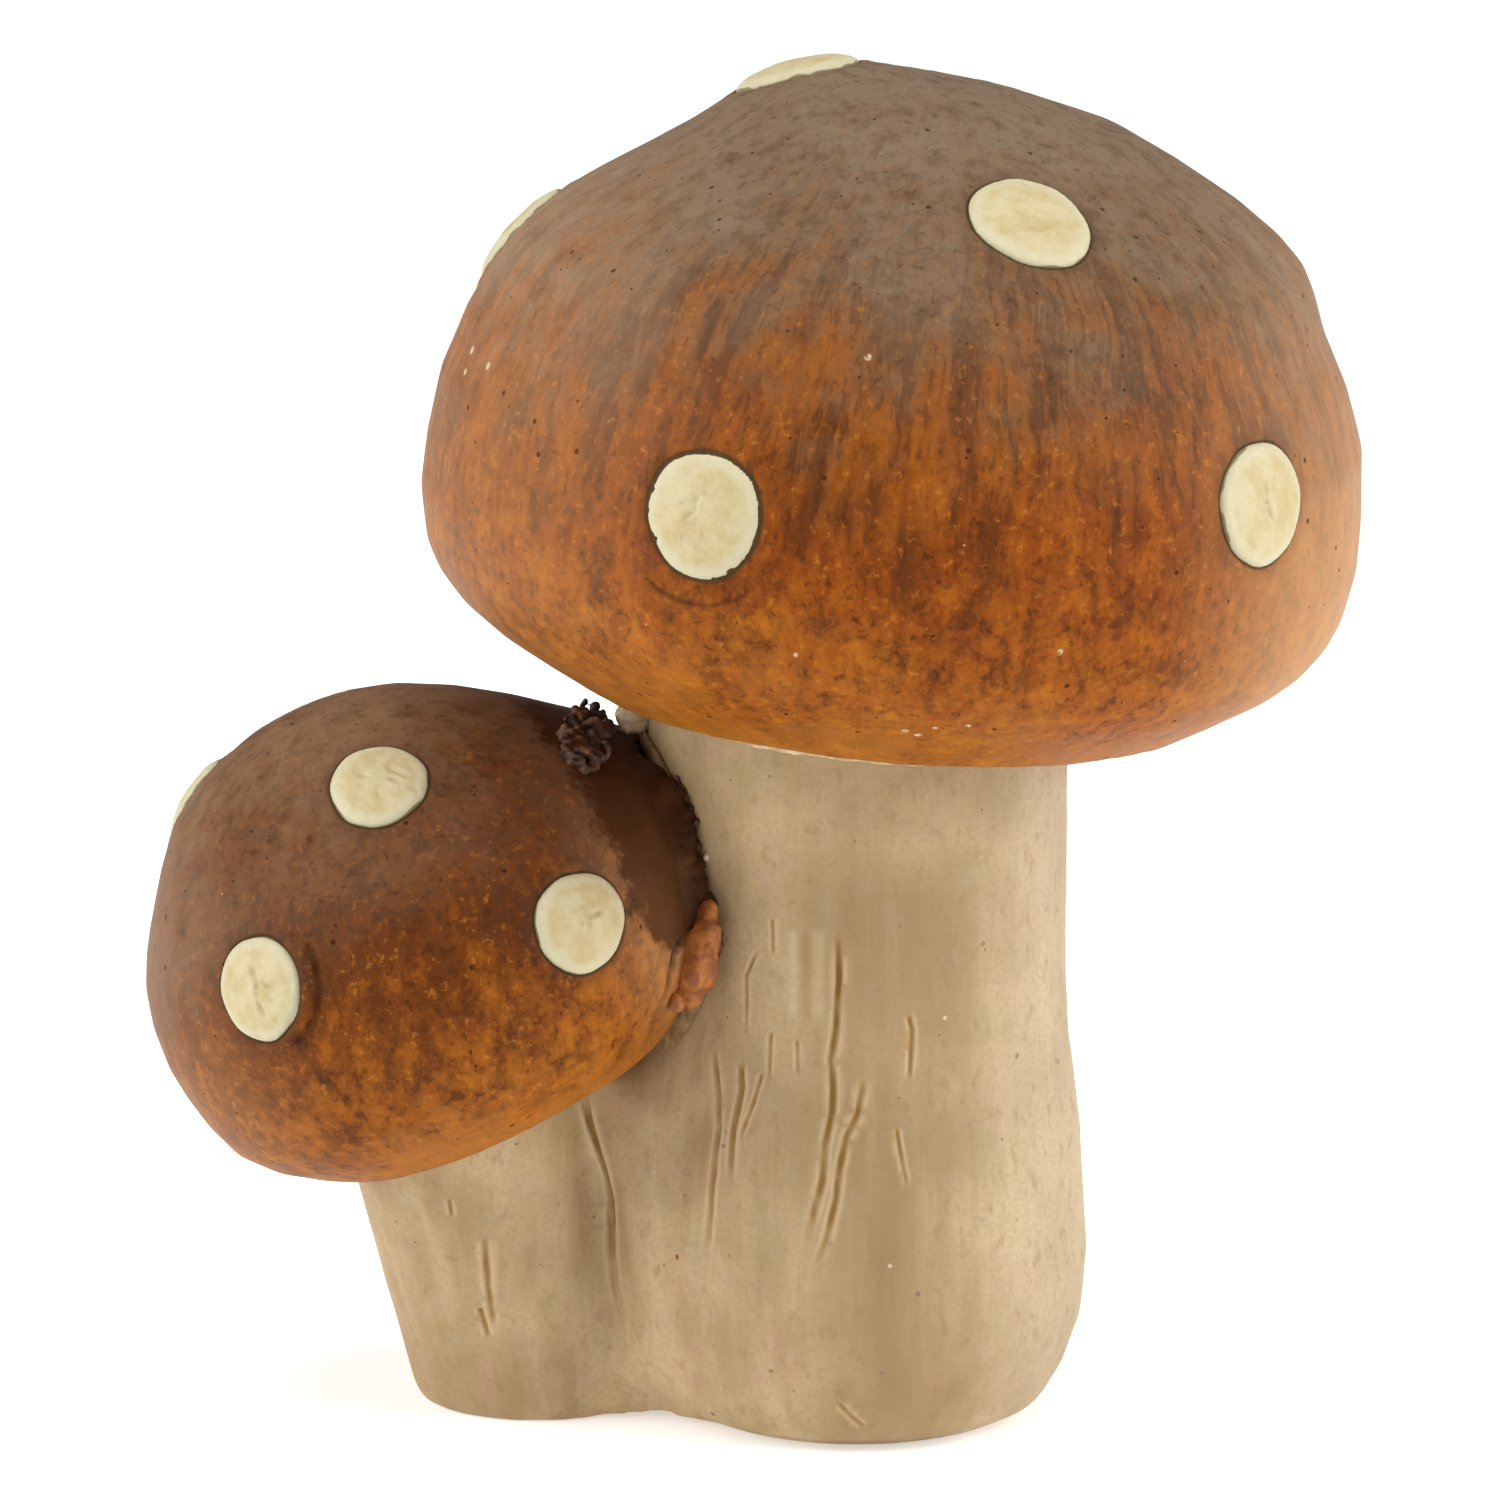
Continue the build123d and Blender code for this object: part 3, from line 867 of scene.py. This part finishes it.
class Value:
    """An output of a node that can be used in a sum."""

    def __init__(self, look, output):
        self.look = look
        self.output = output

    def math(self, kind, first, second):
        """A Math node of two values."""
        return self.look.node("Math", {"operation": kind}, {0: first, 1: second})

    def __add__(self, other):
        return self.math("ADD", self, other)

    def __radd__(self, other):
        return self.math("ADD", other, self)

    def __sub__(self, other):
        return self.math("SUBTRACT", self, other)

    def __rsub__(self, other):
        return self.math("SUBTRACT", other, self)

    def __mul__(self, other):
        return self.math("MULTIPLY", self, other)

    def __rmul__(self, other):
        return self.math("MULTIPLY", other, self)

    def least(self, other):
        """The smaller of the two."""
        return self.math("MINIMUM", self, other)

    def most(self, other):
        """The larger of the two."""
        return self.math("MAXIMUM", self, other)

    def between(self, low, high):
        """Rises smoothly from 0 where this is low to 1 where it is high."""
        settings = {"interpolation_type": "SMOOTHSTEP"}
        return self.look.node("MapRange", settings, {"Value": self, "From Min": low, "From Max": high})


class Look:
    """A material that is being made."""

    def __init__(self, name):
        self.material = bpy.data.materials.new(name)
        self.material.use_nodes = True
        self.tree = self.material.node_tree
        self.shader = self.tree.nodes["Principled BSDF"]

    def link(self, value, socket):
        """Gives a socket a number, a colour or an output."""
        if isinstance(value, Value):
            self.tree.links.new(value.output, socket)
        else:
            socket.default_value = value

    def node(self, kind, settings=None, sockets=None, out=0):
        """Adds a node: its settings first, then its sockets. Gives one of its outputs."""
        new = self.tree.nodes.new("ShaderNode" + kind)
        for name, setting in (settings or {}).items():
            if name == "stops":
                for stop, (position, colour) in enumerate(setting):
                    ramp = new.color_ramp.elements
                    element = ramp[stop] if stop < len(ramp) else ramp.new(position)
                    element.position = position
                    element.color = colour
            else:
                setattr(new, name, setting)
        for name, value in (sockets or {}).items():
            self.link(value, new.inputs[name])
        return Value(self, new.outputs[out])

    def mark(self, name):
        """A number that was written on the piece's points."""
        return self.node("Attribute", {"attribute_name": name}, out="Fac")

    def place(self):
        """The point's own place, in millimetres."""
        where = self.node("TexCoord", out="Object")
        return self.vector("SCALE", where, Scale=1 / MM)

    def vector(self, kind, *vectors, out=0, **named):
        """A Vector Math node."""
        return self.node("VectorMath", {"operation": kind}, {**dict(enumerate(vectors)), **named}, out=out)

    def noise(self, where, size, detail=2.0, roughness=0.5):
        """Noise from about 0 to 1 with lumps of a size in millimetres."""
        sockets = {"Vector": where, "Scale": 1 / size, "Detail": detail, "Roughness": roughness}
        return self.node("TexNoise", None, sockets, out="Fac")

    def mix(self, share, first, second, kind="MIX"):
        """Blends two colours."""
        sockets = {0: share, 6: first, 7: second}
        return self.node("Mix", {"data_type": "RGBA", "blend_type": kind}, sockets, out=2)

    def bump(self, height, depth, after=None):
        """Raises the surface by a height from 0 to 1, times a depth in millimetres."""
        sockets = {"Height": height, "Distance": depth * MM, "Strength": 1.0}
        if after:
            sockets["Normal"] = after
        return self.node("Bump", None, sockets)

    def finish(self, **sockets):
        """Sets the shader's sockets and gives the material."""
        for name, value in sockets.items():
            self.link(value, self.shader.inputs[name.replace("_", " ")])
        return self.material


print("linear mid grey:", round(paint(128, 128, 128)[0], 3))

# %% [markdown]
# ## The glaze of the caps
# The caps were brushed with a brown stain: golden at the lower edge and red-brown with dark strokes
# round the middle. Towards the top a grey-brown is painted over it, a painted sheen of the light from
# above. The strokes run down from the tip, so the pattern is read in the cap's own frame, with the
# direction from its axis in place of the distance. Lower down they break up into blotches. Both sides
# are painted lighter, a painted sheen of the two side lights. The small cap has a dark swath beside
# the joint, small pores stay dark, and a few pale grains show through. Each step is one more mix over
# the one before it.


# %% A look for the glaze of a cap
def pores(look, where, size, radius, share):
    """Round specks: one in some cells of a size, each with a soft edge."""
    settings = {"feature": "F1"}
    sockets = {"Vector": where, "Scale": 1 / size}
    distance = look.node("TexVoronoi", settings, sockets, out="Distance")
    chosen = look.node("TexVoronoi", settings, sockets, out="Color")
    pick = look.node("SeparateColor", None, {"Color": chosen}, out=0)
    round_speck = 1 - distance.between(radius / size * 0.6, radius / size)
    return round_speck * pick.between(1 - share, 1 - share + 0.02)


def speck(look, where, point, radius):
    """One speck at a point of the surface."""
    distance = look.vector("DISTANCE", where, tuple(point), out="Value")
    return 1 - distance.between(radius * 0.5, radius)


def glaze(
    name, cap_place, radius, below, above, colours, strokes, long, top_sheen_and_blush, side_sheen_strength, torn=False, specks=()
):
    """The brushed brown stain of a cap, from below its widest ring to above it, colours in that order."""
    look = Look(name)
    where = look.place()
    turn = cap_place.to_euler()
    back = look.node(
        "Mapping", {"vector_type": "TEXTURE"},
        {"Vector": where, "Location": cap_place.translation / MM, "Rotation": turn},
    )
    level = look.node("SeparateXYZ", None, {"Vector": back}, out=2)
    flat = look.vector("NORMALIZE", look.vector("MULTIPLY", back, (1, 1, 0)))
    ringed = look.vector("SCALE", flat, Scale=radius)
    up = look.node("CombineXYZ", None, {2: level})
    wander = look.node("TexNoise", None, {"Vector": where, "Scale": 1 / 9}, out="Color")
    drift = look.vector("SCALE", wander, Scale=2.6)
    path = look.vector("ADD", look.vector("ADD", ringed, look.vector("SCALE", up, Scale=0.24)), drift)
    wide = look.noise(path, 2.6, 3.0, 0.6)
    thin = look.noise(path, 0.8, 3.0, 0.6)
    patch = look.noise(where, 12, 3.0, 0.55)
    cloud = look.noise(where, 3.4, 5.0, 0.65)
    fleck = look.noise(where, 1.0, 4.0, 0.7)

    blot = look.noise(look.vector("MULTIPLY", where, (1, 1, 0.7)), 2.4, 5.0, 0.7)
    uneven = (patch - 0.5) * 0.40 + (wide - 0.5) * 0.20 + (cloud - 0.5) * 0.30
    height = (level + below) * (1 / (below + above)) + uneven
    upper = height.between(0.22, 0.62) * long + 0.2
    coarse = wide * upper + blot * (1 - upper)
    fine = thin * upper + fleck * (1 - upper)
    base = look.node("ValToRGB", {"stops": colours}, {"Fac": height})
    middle = height.between(0.02, 0.22) * (1 - height.between(0.74, 0.98))
    dark = look.mix(coarse.between(0.48, 0.62) * middle * strokes, base, paint(74, 36, 10))
    darker = look.mix(fine.between(0.50, 0.64) * middle * strokes * 0.8, dark, paint(62, 31, 9))
    thinned = (1 - coarse.between(0.38, 0.50)) * (1 - height.between(0.4, 0.75)) * 0.40
    streaky = look.mix(thinned, darker, paint(166, 94, 18))
    gold = cloud.between(0.50, 0.68) * (1 - height.between(0.10, 0.5)) * 0.5
    golden = look.mix(gold, streaky, paint(180, 112, 26))
    blotch = look.mix((1 - cloud.between(0.32, 0.48)) * 0.45 * strokes, golden, paint(74, 38, 12))
    # Towards the top a grey-brown is painted over the stain, with the grey top stops of the ramp: a painted
    # sheen of the light from above, broken by the strokes. The same share also sets the reddish blush lower
    # down.
    painted_sheen = look.mix(height.between(0.56, 0.96) * (0.3 + thin * 0.8) * top_sheen_and_blush, blotch, paint(130, 112, 92))
    dull = height.between(0.42, 0.72)
    blush = dull * (1 - dull) * (1 - patch.between(0.40, 0.60)) * 0.8 * top_sheen_and_blush
    ruddy = look.mix(blush, painted_sheen, paint(142, 92, 58))
    mottled = look.mix(blot.between(0.48, 0.64) * dull * 0.42, ruddy, paint(80, 58, 38))
    speckled = look.mix(fleck.between(0.55, 0.70) * 0.45, mottled, paint(56, 28, 8))
    grains = (1 - fleck.between(0.28, 0.44)) * (0.42 - height.between(0.5, 0.9) * 0.3)
    light = look.mix(grains, speckled, paint(194, 122, 38))

    # Both sides are painted lighter, a painted sheen of the two side lights: most on the right, and on the
    # left more towards the top.
    across = look.node("SeparateXYZ", None, {"Vector": back}, out=0)
    left = (0 - across).between(radius * 0.35, radius * 1.15) * (0.22 + height.between(0.45, 0.75) * 0.20)
    rubbed = across.between(radius * 0.55, radius * 1.10) * (0.60 - height.between(0.3, 0.6) * 0.18) + left
    side_sheen_colour = look.mix(height.between(0.35, 0.75), paint(206, 164, 116), paint(190, 160, 130))
    light = look.mix(rubbed * (0.5 + cloud * 0.7) * side_sheen_strength, light, side_sheen_colour)

    hole = pores(look, where, 3.4, 0.30, 0.34).most(pores(look, where, 1.7, 0.16, 0.22))
    pale = pores(look, look.vector("ADD", where, (31.0, 7.0, 3.0)), 5.2, 0.15, 0.18)
    ringed_edge = 1 - look.mark("gap").between(0.14, 0.42)
    pool = (1 - look.mark("gap").between(0.3, 2.6)) * cloud.between(0.35, 0.6)
    colour = look.mix(hole * 0.7, light, paint(34, 17, 6))
    colour = look.mix(pale * 0.5, colour, paint(214, 180, 140))
    colour = look.mix(look.mark("gouge").least(1) * 0.55, colour, paint(62, 32, 12))
    if torn:
        swath = (look.mark("shade") + (cloud - 0.5) * 0.7 + (blot - 0.5) * 0.5).between(0.42, 0.62)
        colour = look.mix(swath * 0.85, colour, paint(66, 32, 9))
        colour = look.mix(look.mark("torn") * cloud.between(0.25, 0.6) * 0.8, colour, paint(40, 19, 6))
    colour = look.mix(pool * 0.25, colour, paint(52, 28, 12))
    colour = look.mix(ringed_edge * 0.8, colour, paint(60, 50, 28))
    for point, size in specks:
        pale_speck = speck(look, where, point, size) * fleck.between(0.40, 0.52) * 0.6
        colour = look.mix(pale_speck, colour, paint(220, 200, 168))

    relief = thin * 0.35 + wide * 0.25 + cloud * 0.4
    normal = look.bump(relief, 0.14)
    normal = look.bump(fleck, 0.06, normal)
    normal = look.bump(1 - hole, 0.16, normal)
    rough = 0.50 + (cloud - 0.5) * 0.3 + hole * 0.3 + height.between(0.5, 0.95) * 0.10
    return look.finish(Base_Color=colour, Roughness=rough, Normal=normal, Specular_IOR_Level=0.08)


def stops(*pairs):
    """Stops of a colour ramp, from a position and a colour as given."""
    return [(position, paint(*colour)) for position, colour in pairs]


# %% The two glazes, and the pale specks of the large one: a spot of the picture and a radius
large_tree = tree_of(large_cap)
large_specks = [
    (868, 357, 0.45), (465, 372, 0.5), (472, 350, 0.6), (488, 366, 0.55), (905, 731, 0.45),
    (918, 735, 0.5), (935, 728, 0.35), (968, 726, 0.4), (796, 655, 0.3), (1060, 652, 0.4),
]
large_glaze = glaze(
    "large_cap_glaze", large_cap_place, radius=42, below=18.5, above=46,
    colours=stops(
        (0.0, (150, 90, 28)), (0.16, (140, 74, 14)), (0.34, (126, 59, 8)), (0.54, (124, 66, 20)),
        (0.70, (116, 76, 42)), (0.84, (108, 82, 58)), (1.0, (110, 90, 70)),
    ),
    strokes=0.66, long=0.8, top_sheen_and_blush=0.62, side_sheen_strength=1.0,
    specks=[(seen(large_tree, column, row), size) for column, row, size in large_specks],
)
small_glaze = glaze(
    "small_cap_glaze", small_cap_place, radius=26, below=18, above=26.8,
    colours=stops(
        (0.0, (154, 94, 32)), (0.18, (134, 73, 16)), (0.38, (106, 53, 8)), (0.58, (90, 45, 12)),
        (0.80, (104, 62, 30)), (1.0, (120, 86, 58)),
    ),
    strokes=0.70, long=0.2, top_sheen_and_blush=0.22, side_sheen_strength=0.8, torn=True,
)
print("glazes:", large_glaze.name, small_glaze.name)

# %% [markdown]
# ## The bare clay of the stems
# The stems are unglazed: a warm beige body with grey and pinkish clouds, fine sand, and long pale
# and dark streaks that fade towards the large cap. An olive stain stayed in the gouges, whose burrs
# are rubbed pale. Down the middle of the front, below the cap, the clay is painted a darker olive:
# partly a stain wiped over it, partly painted shade where the side lights fall off. The right side is
# painted paler, a painted sheen of the key light. It is matt, with a slight satin where fingers
# smoothed it.


# %% A look for bare clay
def bare_clay(name, light, shade, specks=()):
    """Beige clay with clouds, streaks, sand and stained gouges."""
    look = Look(name)
    where = look.place()
    tall = look.vector("MULTIPLY", where, (1, 1, 0.07))
    rubbed = look.vector("MULTIPLY", where, (1, 1, 0.6))
    patch = look.noise(where, 16, 3.0, 0.5)
    other = look.noise(look.vector("ADD", where, (50.0, 20.0, 9.0)), 11, 3.0, 0.55)
    cloud = look.noise(where, 4.4, 5.0, 0.65)
    streak = look.noise(tall, 3.0, 3.0, 0.55)
    smear = look.noise(rubbed, 1.5, 4.0, 0.65)
    grain = look.noise(where, 0.5, 2.0, 0.6)
    across, away, height = (look.node("SeparateXYZ", None, {"Vector": where}, out=axis) for axis in range(3))
    drawn = 1 - height.between(48, 66) * 0.7
    # Darker olive down the middle of the front, below the cap: partly a stain, partly painted shade where the
    # side lights fall off.
    front_shade_and_stain = (1 - (across - 2).most(2 - across).between(3, 11)) * (1 - height.between(56, 64))
    front_shade_and_stain = front_shade_and_stain * (0 - away).between(4, 14)
    # The right side is painted paler and greyer: a painted sheen of the key light on that side.
    painted_sheen = across.between(9, 19)
    body = look.mix(patch.between(0.36, 0.64), paint(*light), paint(*shade))
    pink = look.mix(cloud.between(0.50, 0.68) * 0.5, body, paint(176, 144, 120))
    olive = look.mix(other.between(0.50, 0.64) * 0.45, pink, paint(152, 132, 84))
    grey = look.mix((1 - cloud.between(0.32, 0.48)) * 0.4, olive, paint(168, 150, 120))
    streaked = look.mix(streak.between(0.52, 0.68) * 0.35 * drawn, grey, paint(144, 118, 74))
    pale = look.mix((1 - streak.between(0.30, 0.48)) * 0.22 * drawn, streaked, paint(200, 180, 142))
    front = look.mix(front_shade_and_stain * (0.35 + streak * 0.5), pale, paint(142, 116, 76))
    side = look.mix(painted_sheen * 0.4, front, paint(192, 176, 150))
    smeared = look.mix(smear.between(0.54, 0.70) * 0.4, side, paint(138, 110, 72))
    sandy = look.mix((grain - 0.42).most(0) * 0.9, smeared, paint(140, 110, 76))
    hole = pores(look, where, 4.2, 0.26, 0.30).most(pores(look, where, 2.1, 0.14, 0.28))
    dotted = look.mix(hole * 0.45, sandy, paint(112, 82, 62))
    stain = look.mark("gouge")
    colour = look.mix((stain * (0.6 + cloud * 0.7)).least(1) * 0.85, dotted, paint(150, 110, 42))
    colour = look.mix(look.mark("burr") * 0.4, colour, paint(206, 186, 150))
    for point, size, tint in specks:
        colour = look.mix(speck(look, where, point, size), colour, paint(*tint))
    normal = look.bump(cloud * 0.35 + streak * 0.35 + smear * 0.3, 0.16)
    normal = look.bump(grain, 0.045, normal)
    normal = look.bump(1 - hole, 0.12, normal)
    rough = 0.62 + (cloud - 0.5) * 0.2
    return look.finish(Base_Color=colour, Roughness=rough, Normal=normal, Specular_IOR_Level=0.32)


stem_specks = [
    (677, 1257, 0.35, (140, 56, 30)), (890, 1266, 0.28, (196, 176, 148)), (918, 1294, 0.35, (120, 98, 84)),
    (713, 1414, 0.4, (118, 96, 84)), (945, 1018, 0.28, (198, 178, 150)), (1017, 1056, 0.4, (142, 112, 88)),
    (882, 1373, 0.3, (128, 104, 84)), (771, 1371, 0.3, (136, 108, 66)),
]
stem_look = bare_clay(
    "stem_clay", (182, 158, 118), (162, 136, 98),
    [(seen(stem_tree, column, row), size, tint) for column, row, size, tint in stem_specks],
)
print("clay:", stem_look.name)

# %% [markdown]
# ## Spots, slip and crumbs
# The spots are cream clay under a thin clear wash: a paler, greyer rim where the wash ran thin, a
# yellower middle, and grain in the cracks. Slip is like the stem's clay but paler. The crumbs are
# dark glaze with bits of bare clay in it, and the flap is glazed brown in the same broken way.


# %% The small looks
def spot_look(name):
    """Pale pressed clay with a lighter rim."""
    look = Look(name)
    where = look.place()
    share = look.mark("share")
    cloud = look.noise(where, 2.4, 4.0, 0.6)
    grain = look.noise(where, 0.4, 2.0, 0.6)
    body = look.mix(cloud.between(0.35, 0.68), paint(190, 178, 140), paint(180, 162, 116))
    rim = look.mix(share.between(0.72, 0.9) * 0.75, body, paint(191, 185, 155))
    sandy = look.mix((grain - 0.45).most(0) * 0.7, rim, paint(176, 150, 104))
    edge = look.mix(share.between(0.985, 1.0), sandy, paint(128, 116, 82))
    normal = look.bump(cloud, 0.10)
    normal = look.bump(grain, 0.04, normal)
    rough = 0.58 + (cloud - 0.5) * 0.2
    return look.finish(Base_Color=edge, Roughness=rough, Normal=normal, Specular_IOR_Level=0.35)


def crumb_look(name, body, shade, light):
    """Broken bits: dark in the hollows and light on some of them."""
    look = Look(name)
    where = look.place()
    cloud = look.noise(where, 1.5, 3.0, 0.6)
    grain = look.noise(where, 0.45, 2.0, 0.6)
    base = look.mix(cloud.between(0.4, 0.6), paint(*shade), paint(*body))
    colour = look.mix(cloud.between(0.58, 0.72) * 0.7, base, paint(*light))
    colour = look.mix((grain - 0.45).most(0) * 0.8, colour, paint(*shade))
    normal = look.bump(grain * 0.5 + cloud * 0.5, 0.12)
    return look.finish(Base_Color=colour, Roughness=0.6 + (grain - 0.5) * 0.2, Normal=normal)


spot_clay = spot_look("spot_clay")
brown_look = crumb_look("brown_crumb", (92, 54, 28), (46, 25, 11), (150, 112, 80))
flap_look = crumb_look("flap_glaze", (164, 96, 28), (128, 68, 20), (188, 126, 54))
pale_look = crumb_look("pale_crumb", (224, 196, 158), (190, 154, 114), (236, 220, 194))
slip_look = crumb_look("slip", (206, 184, 148), (180, 152, 112), (222, 206, 176))
pad_look = crumb_look("slip_smear", (166, 138, 98), (144, 112, 74), (184, 158, 118))
print("small looks made")

# %% [markdown]
# ## Putting the finishes on, and each piece in the place of its nodes
# Every piece rides on the one body of this ornament and takes the place of the measured node or nodes
# that it was made from, which are hidden. The thin layer of slip between the small cap and the large
# stem is right as it is, so it only gets a better material.


# %% Every piece in its place
def stands_for(piece, look, slot, *nodes):
    """Gives a piece its material and its body, and hides the nodes that it replaces. Its slot is not used."""
    piece.data.materials.clear()
    piece.data.materials.append(look)
    piece.data.polygons.foreach_set("use_smooth", [True] * len(piece.data.polygons))
    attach(piece, "root")
    if nodes:
        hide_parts(*nodes)


stands_for(large_cap, large_glaze, "cap_glaze", "large_cap")
stands_for(small_cap, small_glaze, "cap_glaze", "small_cap")
stands_for(stems, stem_look, "stem_clay", "large_stem", "stem_web", "small_stem")
stands_for(brown_crumbs, brown_look, "crumb_clay", "brown_crumbs")
stands_for(pale_crumbs, pale_look, "slip_clay", "pale_crumbs")
stands_for(flap, flap_look, "cap_glaze", "torn_flap")
stands_for(edge_crumbs, brown_look, "crumb_clay")
stands_for(slip_ring, slip_look, "slip_clay", "slip_ring")
for seat, piece in zip(large_seats + small_seats, spots):
    stands_for(piece, spot_clay, "spot_clay", seat.node)
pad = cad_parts["slip_pad"]
for material_slot in pad.material_slots:
    material_slot.material = pad_look
made = [large_cap, small_cap, stems, brown_crumbs, pale_crumbs, flap, edge_crumbs, slip_ring, pad, *spots]
print("pieces:", len(made))

# %% [markdown]
# ## The floor and the light
# The ornament stands on a plain pale table. Light comes from two large soft boxes, one on each
# side and nearly as strong as each other, with a softer one above, so both sides are a little
# brighter than the middle.

# %% Floor, light and view
clay = bmesh.new()
bmesh.ops.create_grid(clay, x_segments=1, y_segments=1, size=4)
floor = shown(clay, "floor")
look = Look("floor_paint")
pale_floor = look.mix(look.noise(look.place(), 60, 2.0) * 0.25, paint(246, 246, 246), paint(238, 238, 238))
# The floor glows faintly as well, which is painted light: it keeps the floor white and lights the undersides
# of the caps.
floor.data.materials.append(look.finish(
    Base_Color=pale_floor, Roughness=0.9, Specular_IOR_Level=0.1,
    Emission_Color=paint(255, 255, 255), Emission_Strength=0.42,
))


def soft_box(name, turn, up, away, size, power):
    """A square soft light that points at the ornament, from a turn and an angle above level.

    Its distance and size are in metres, and its power in watts.
    """
    light = bpy.data.lights.new(name, "AREA")
    light.shape = "SQUARE"
    light.size = size
    light.energy = power
    lamp = bpy.data.objects.new(name, light)
    round_by, up_by = math.radians(turn), math.radians(up)
    level = math.cos(up_by)
    side = Vector((math.sin(round_by) * level, -math.cos(round_by) * level, math.sin(up_by)))
    lamp.location = aim + side * away
    lamp.rotation_euler = side.to_track_quat("Z", "Y").to_euler()
    bpy.context.scene.collection.objects.link(lamp)


soft_box("key", turn=74, up=24, away=1.1, size=0.8, power=9.8)
soft_box("fill", turn=-76, up=24, away=1.1, size=0.8, power=9.2)
soft_box("top", turn=0, up=76, away=1.0, size=0.9, power=6.5)

world = bpy.data.worlds.new("room")
world.use_nodes = True
world.node_tree.nodes["Background"].inputs["Color"].default_value = (1, 1, 1, 1)
world.node_tree.nodes["Background"].inputs["Strength"].default_value = 0.30
bpy.context.scene.world = world
bpy.context.scene.view_settings.view_transform = "Standard"
print("lights: 3")
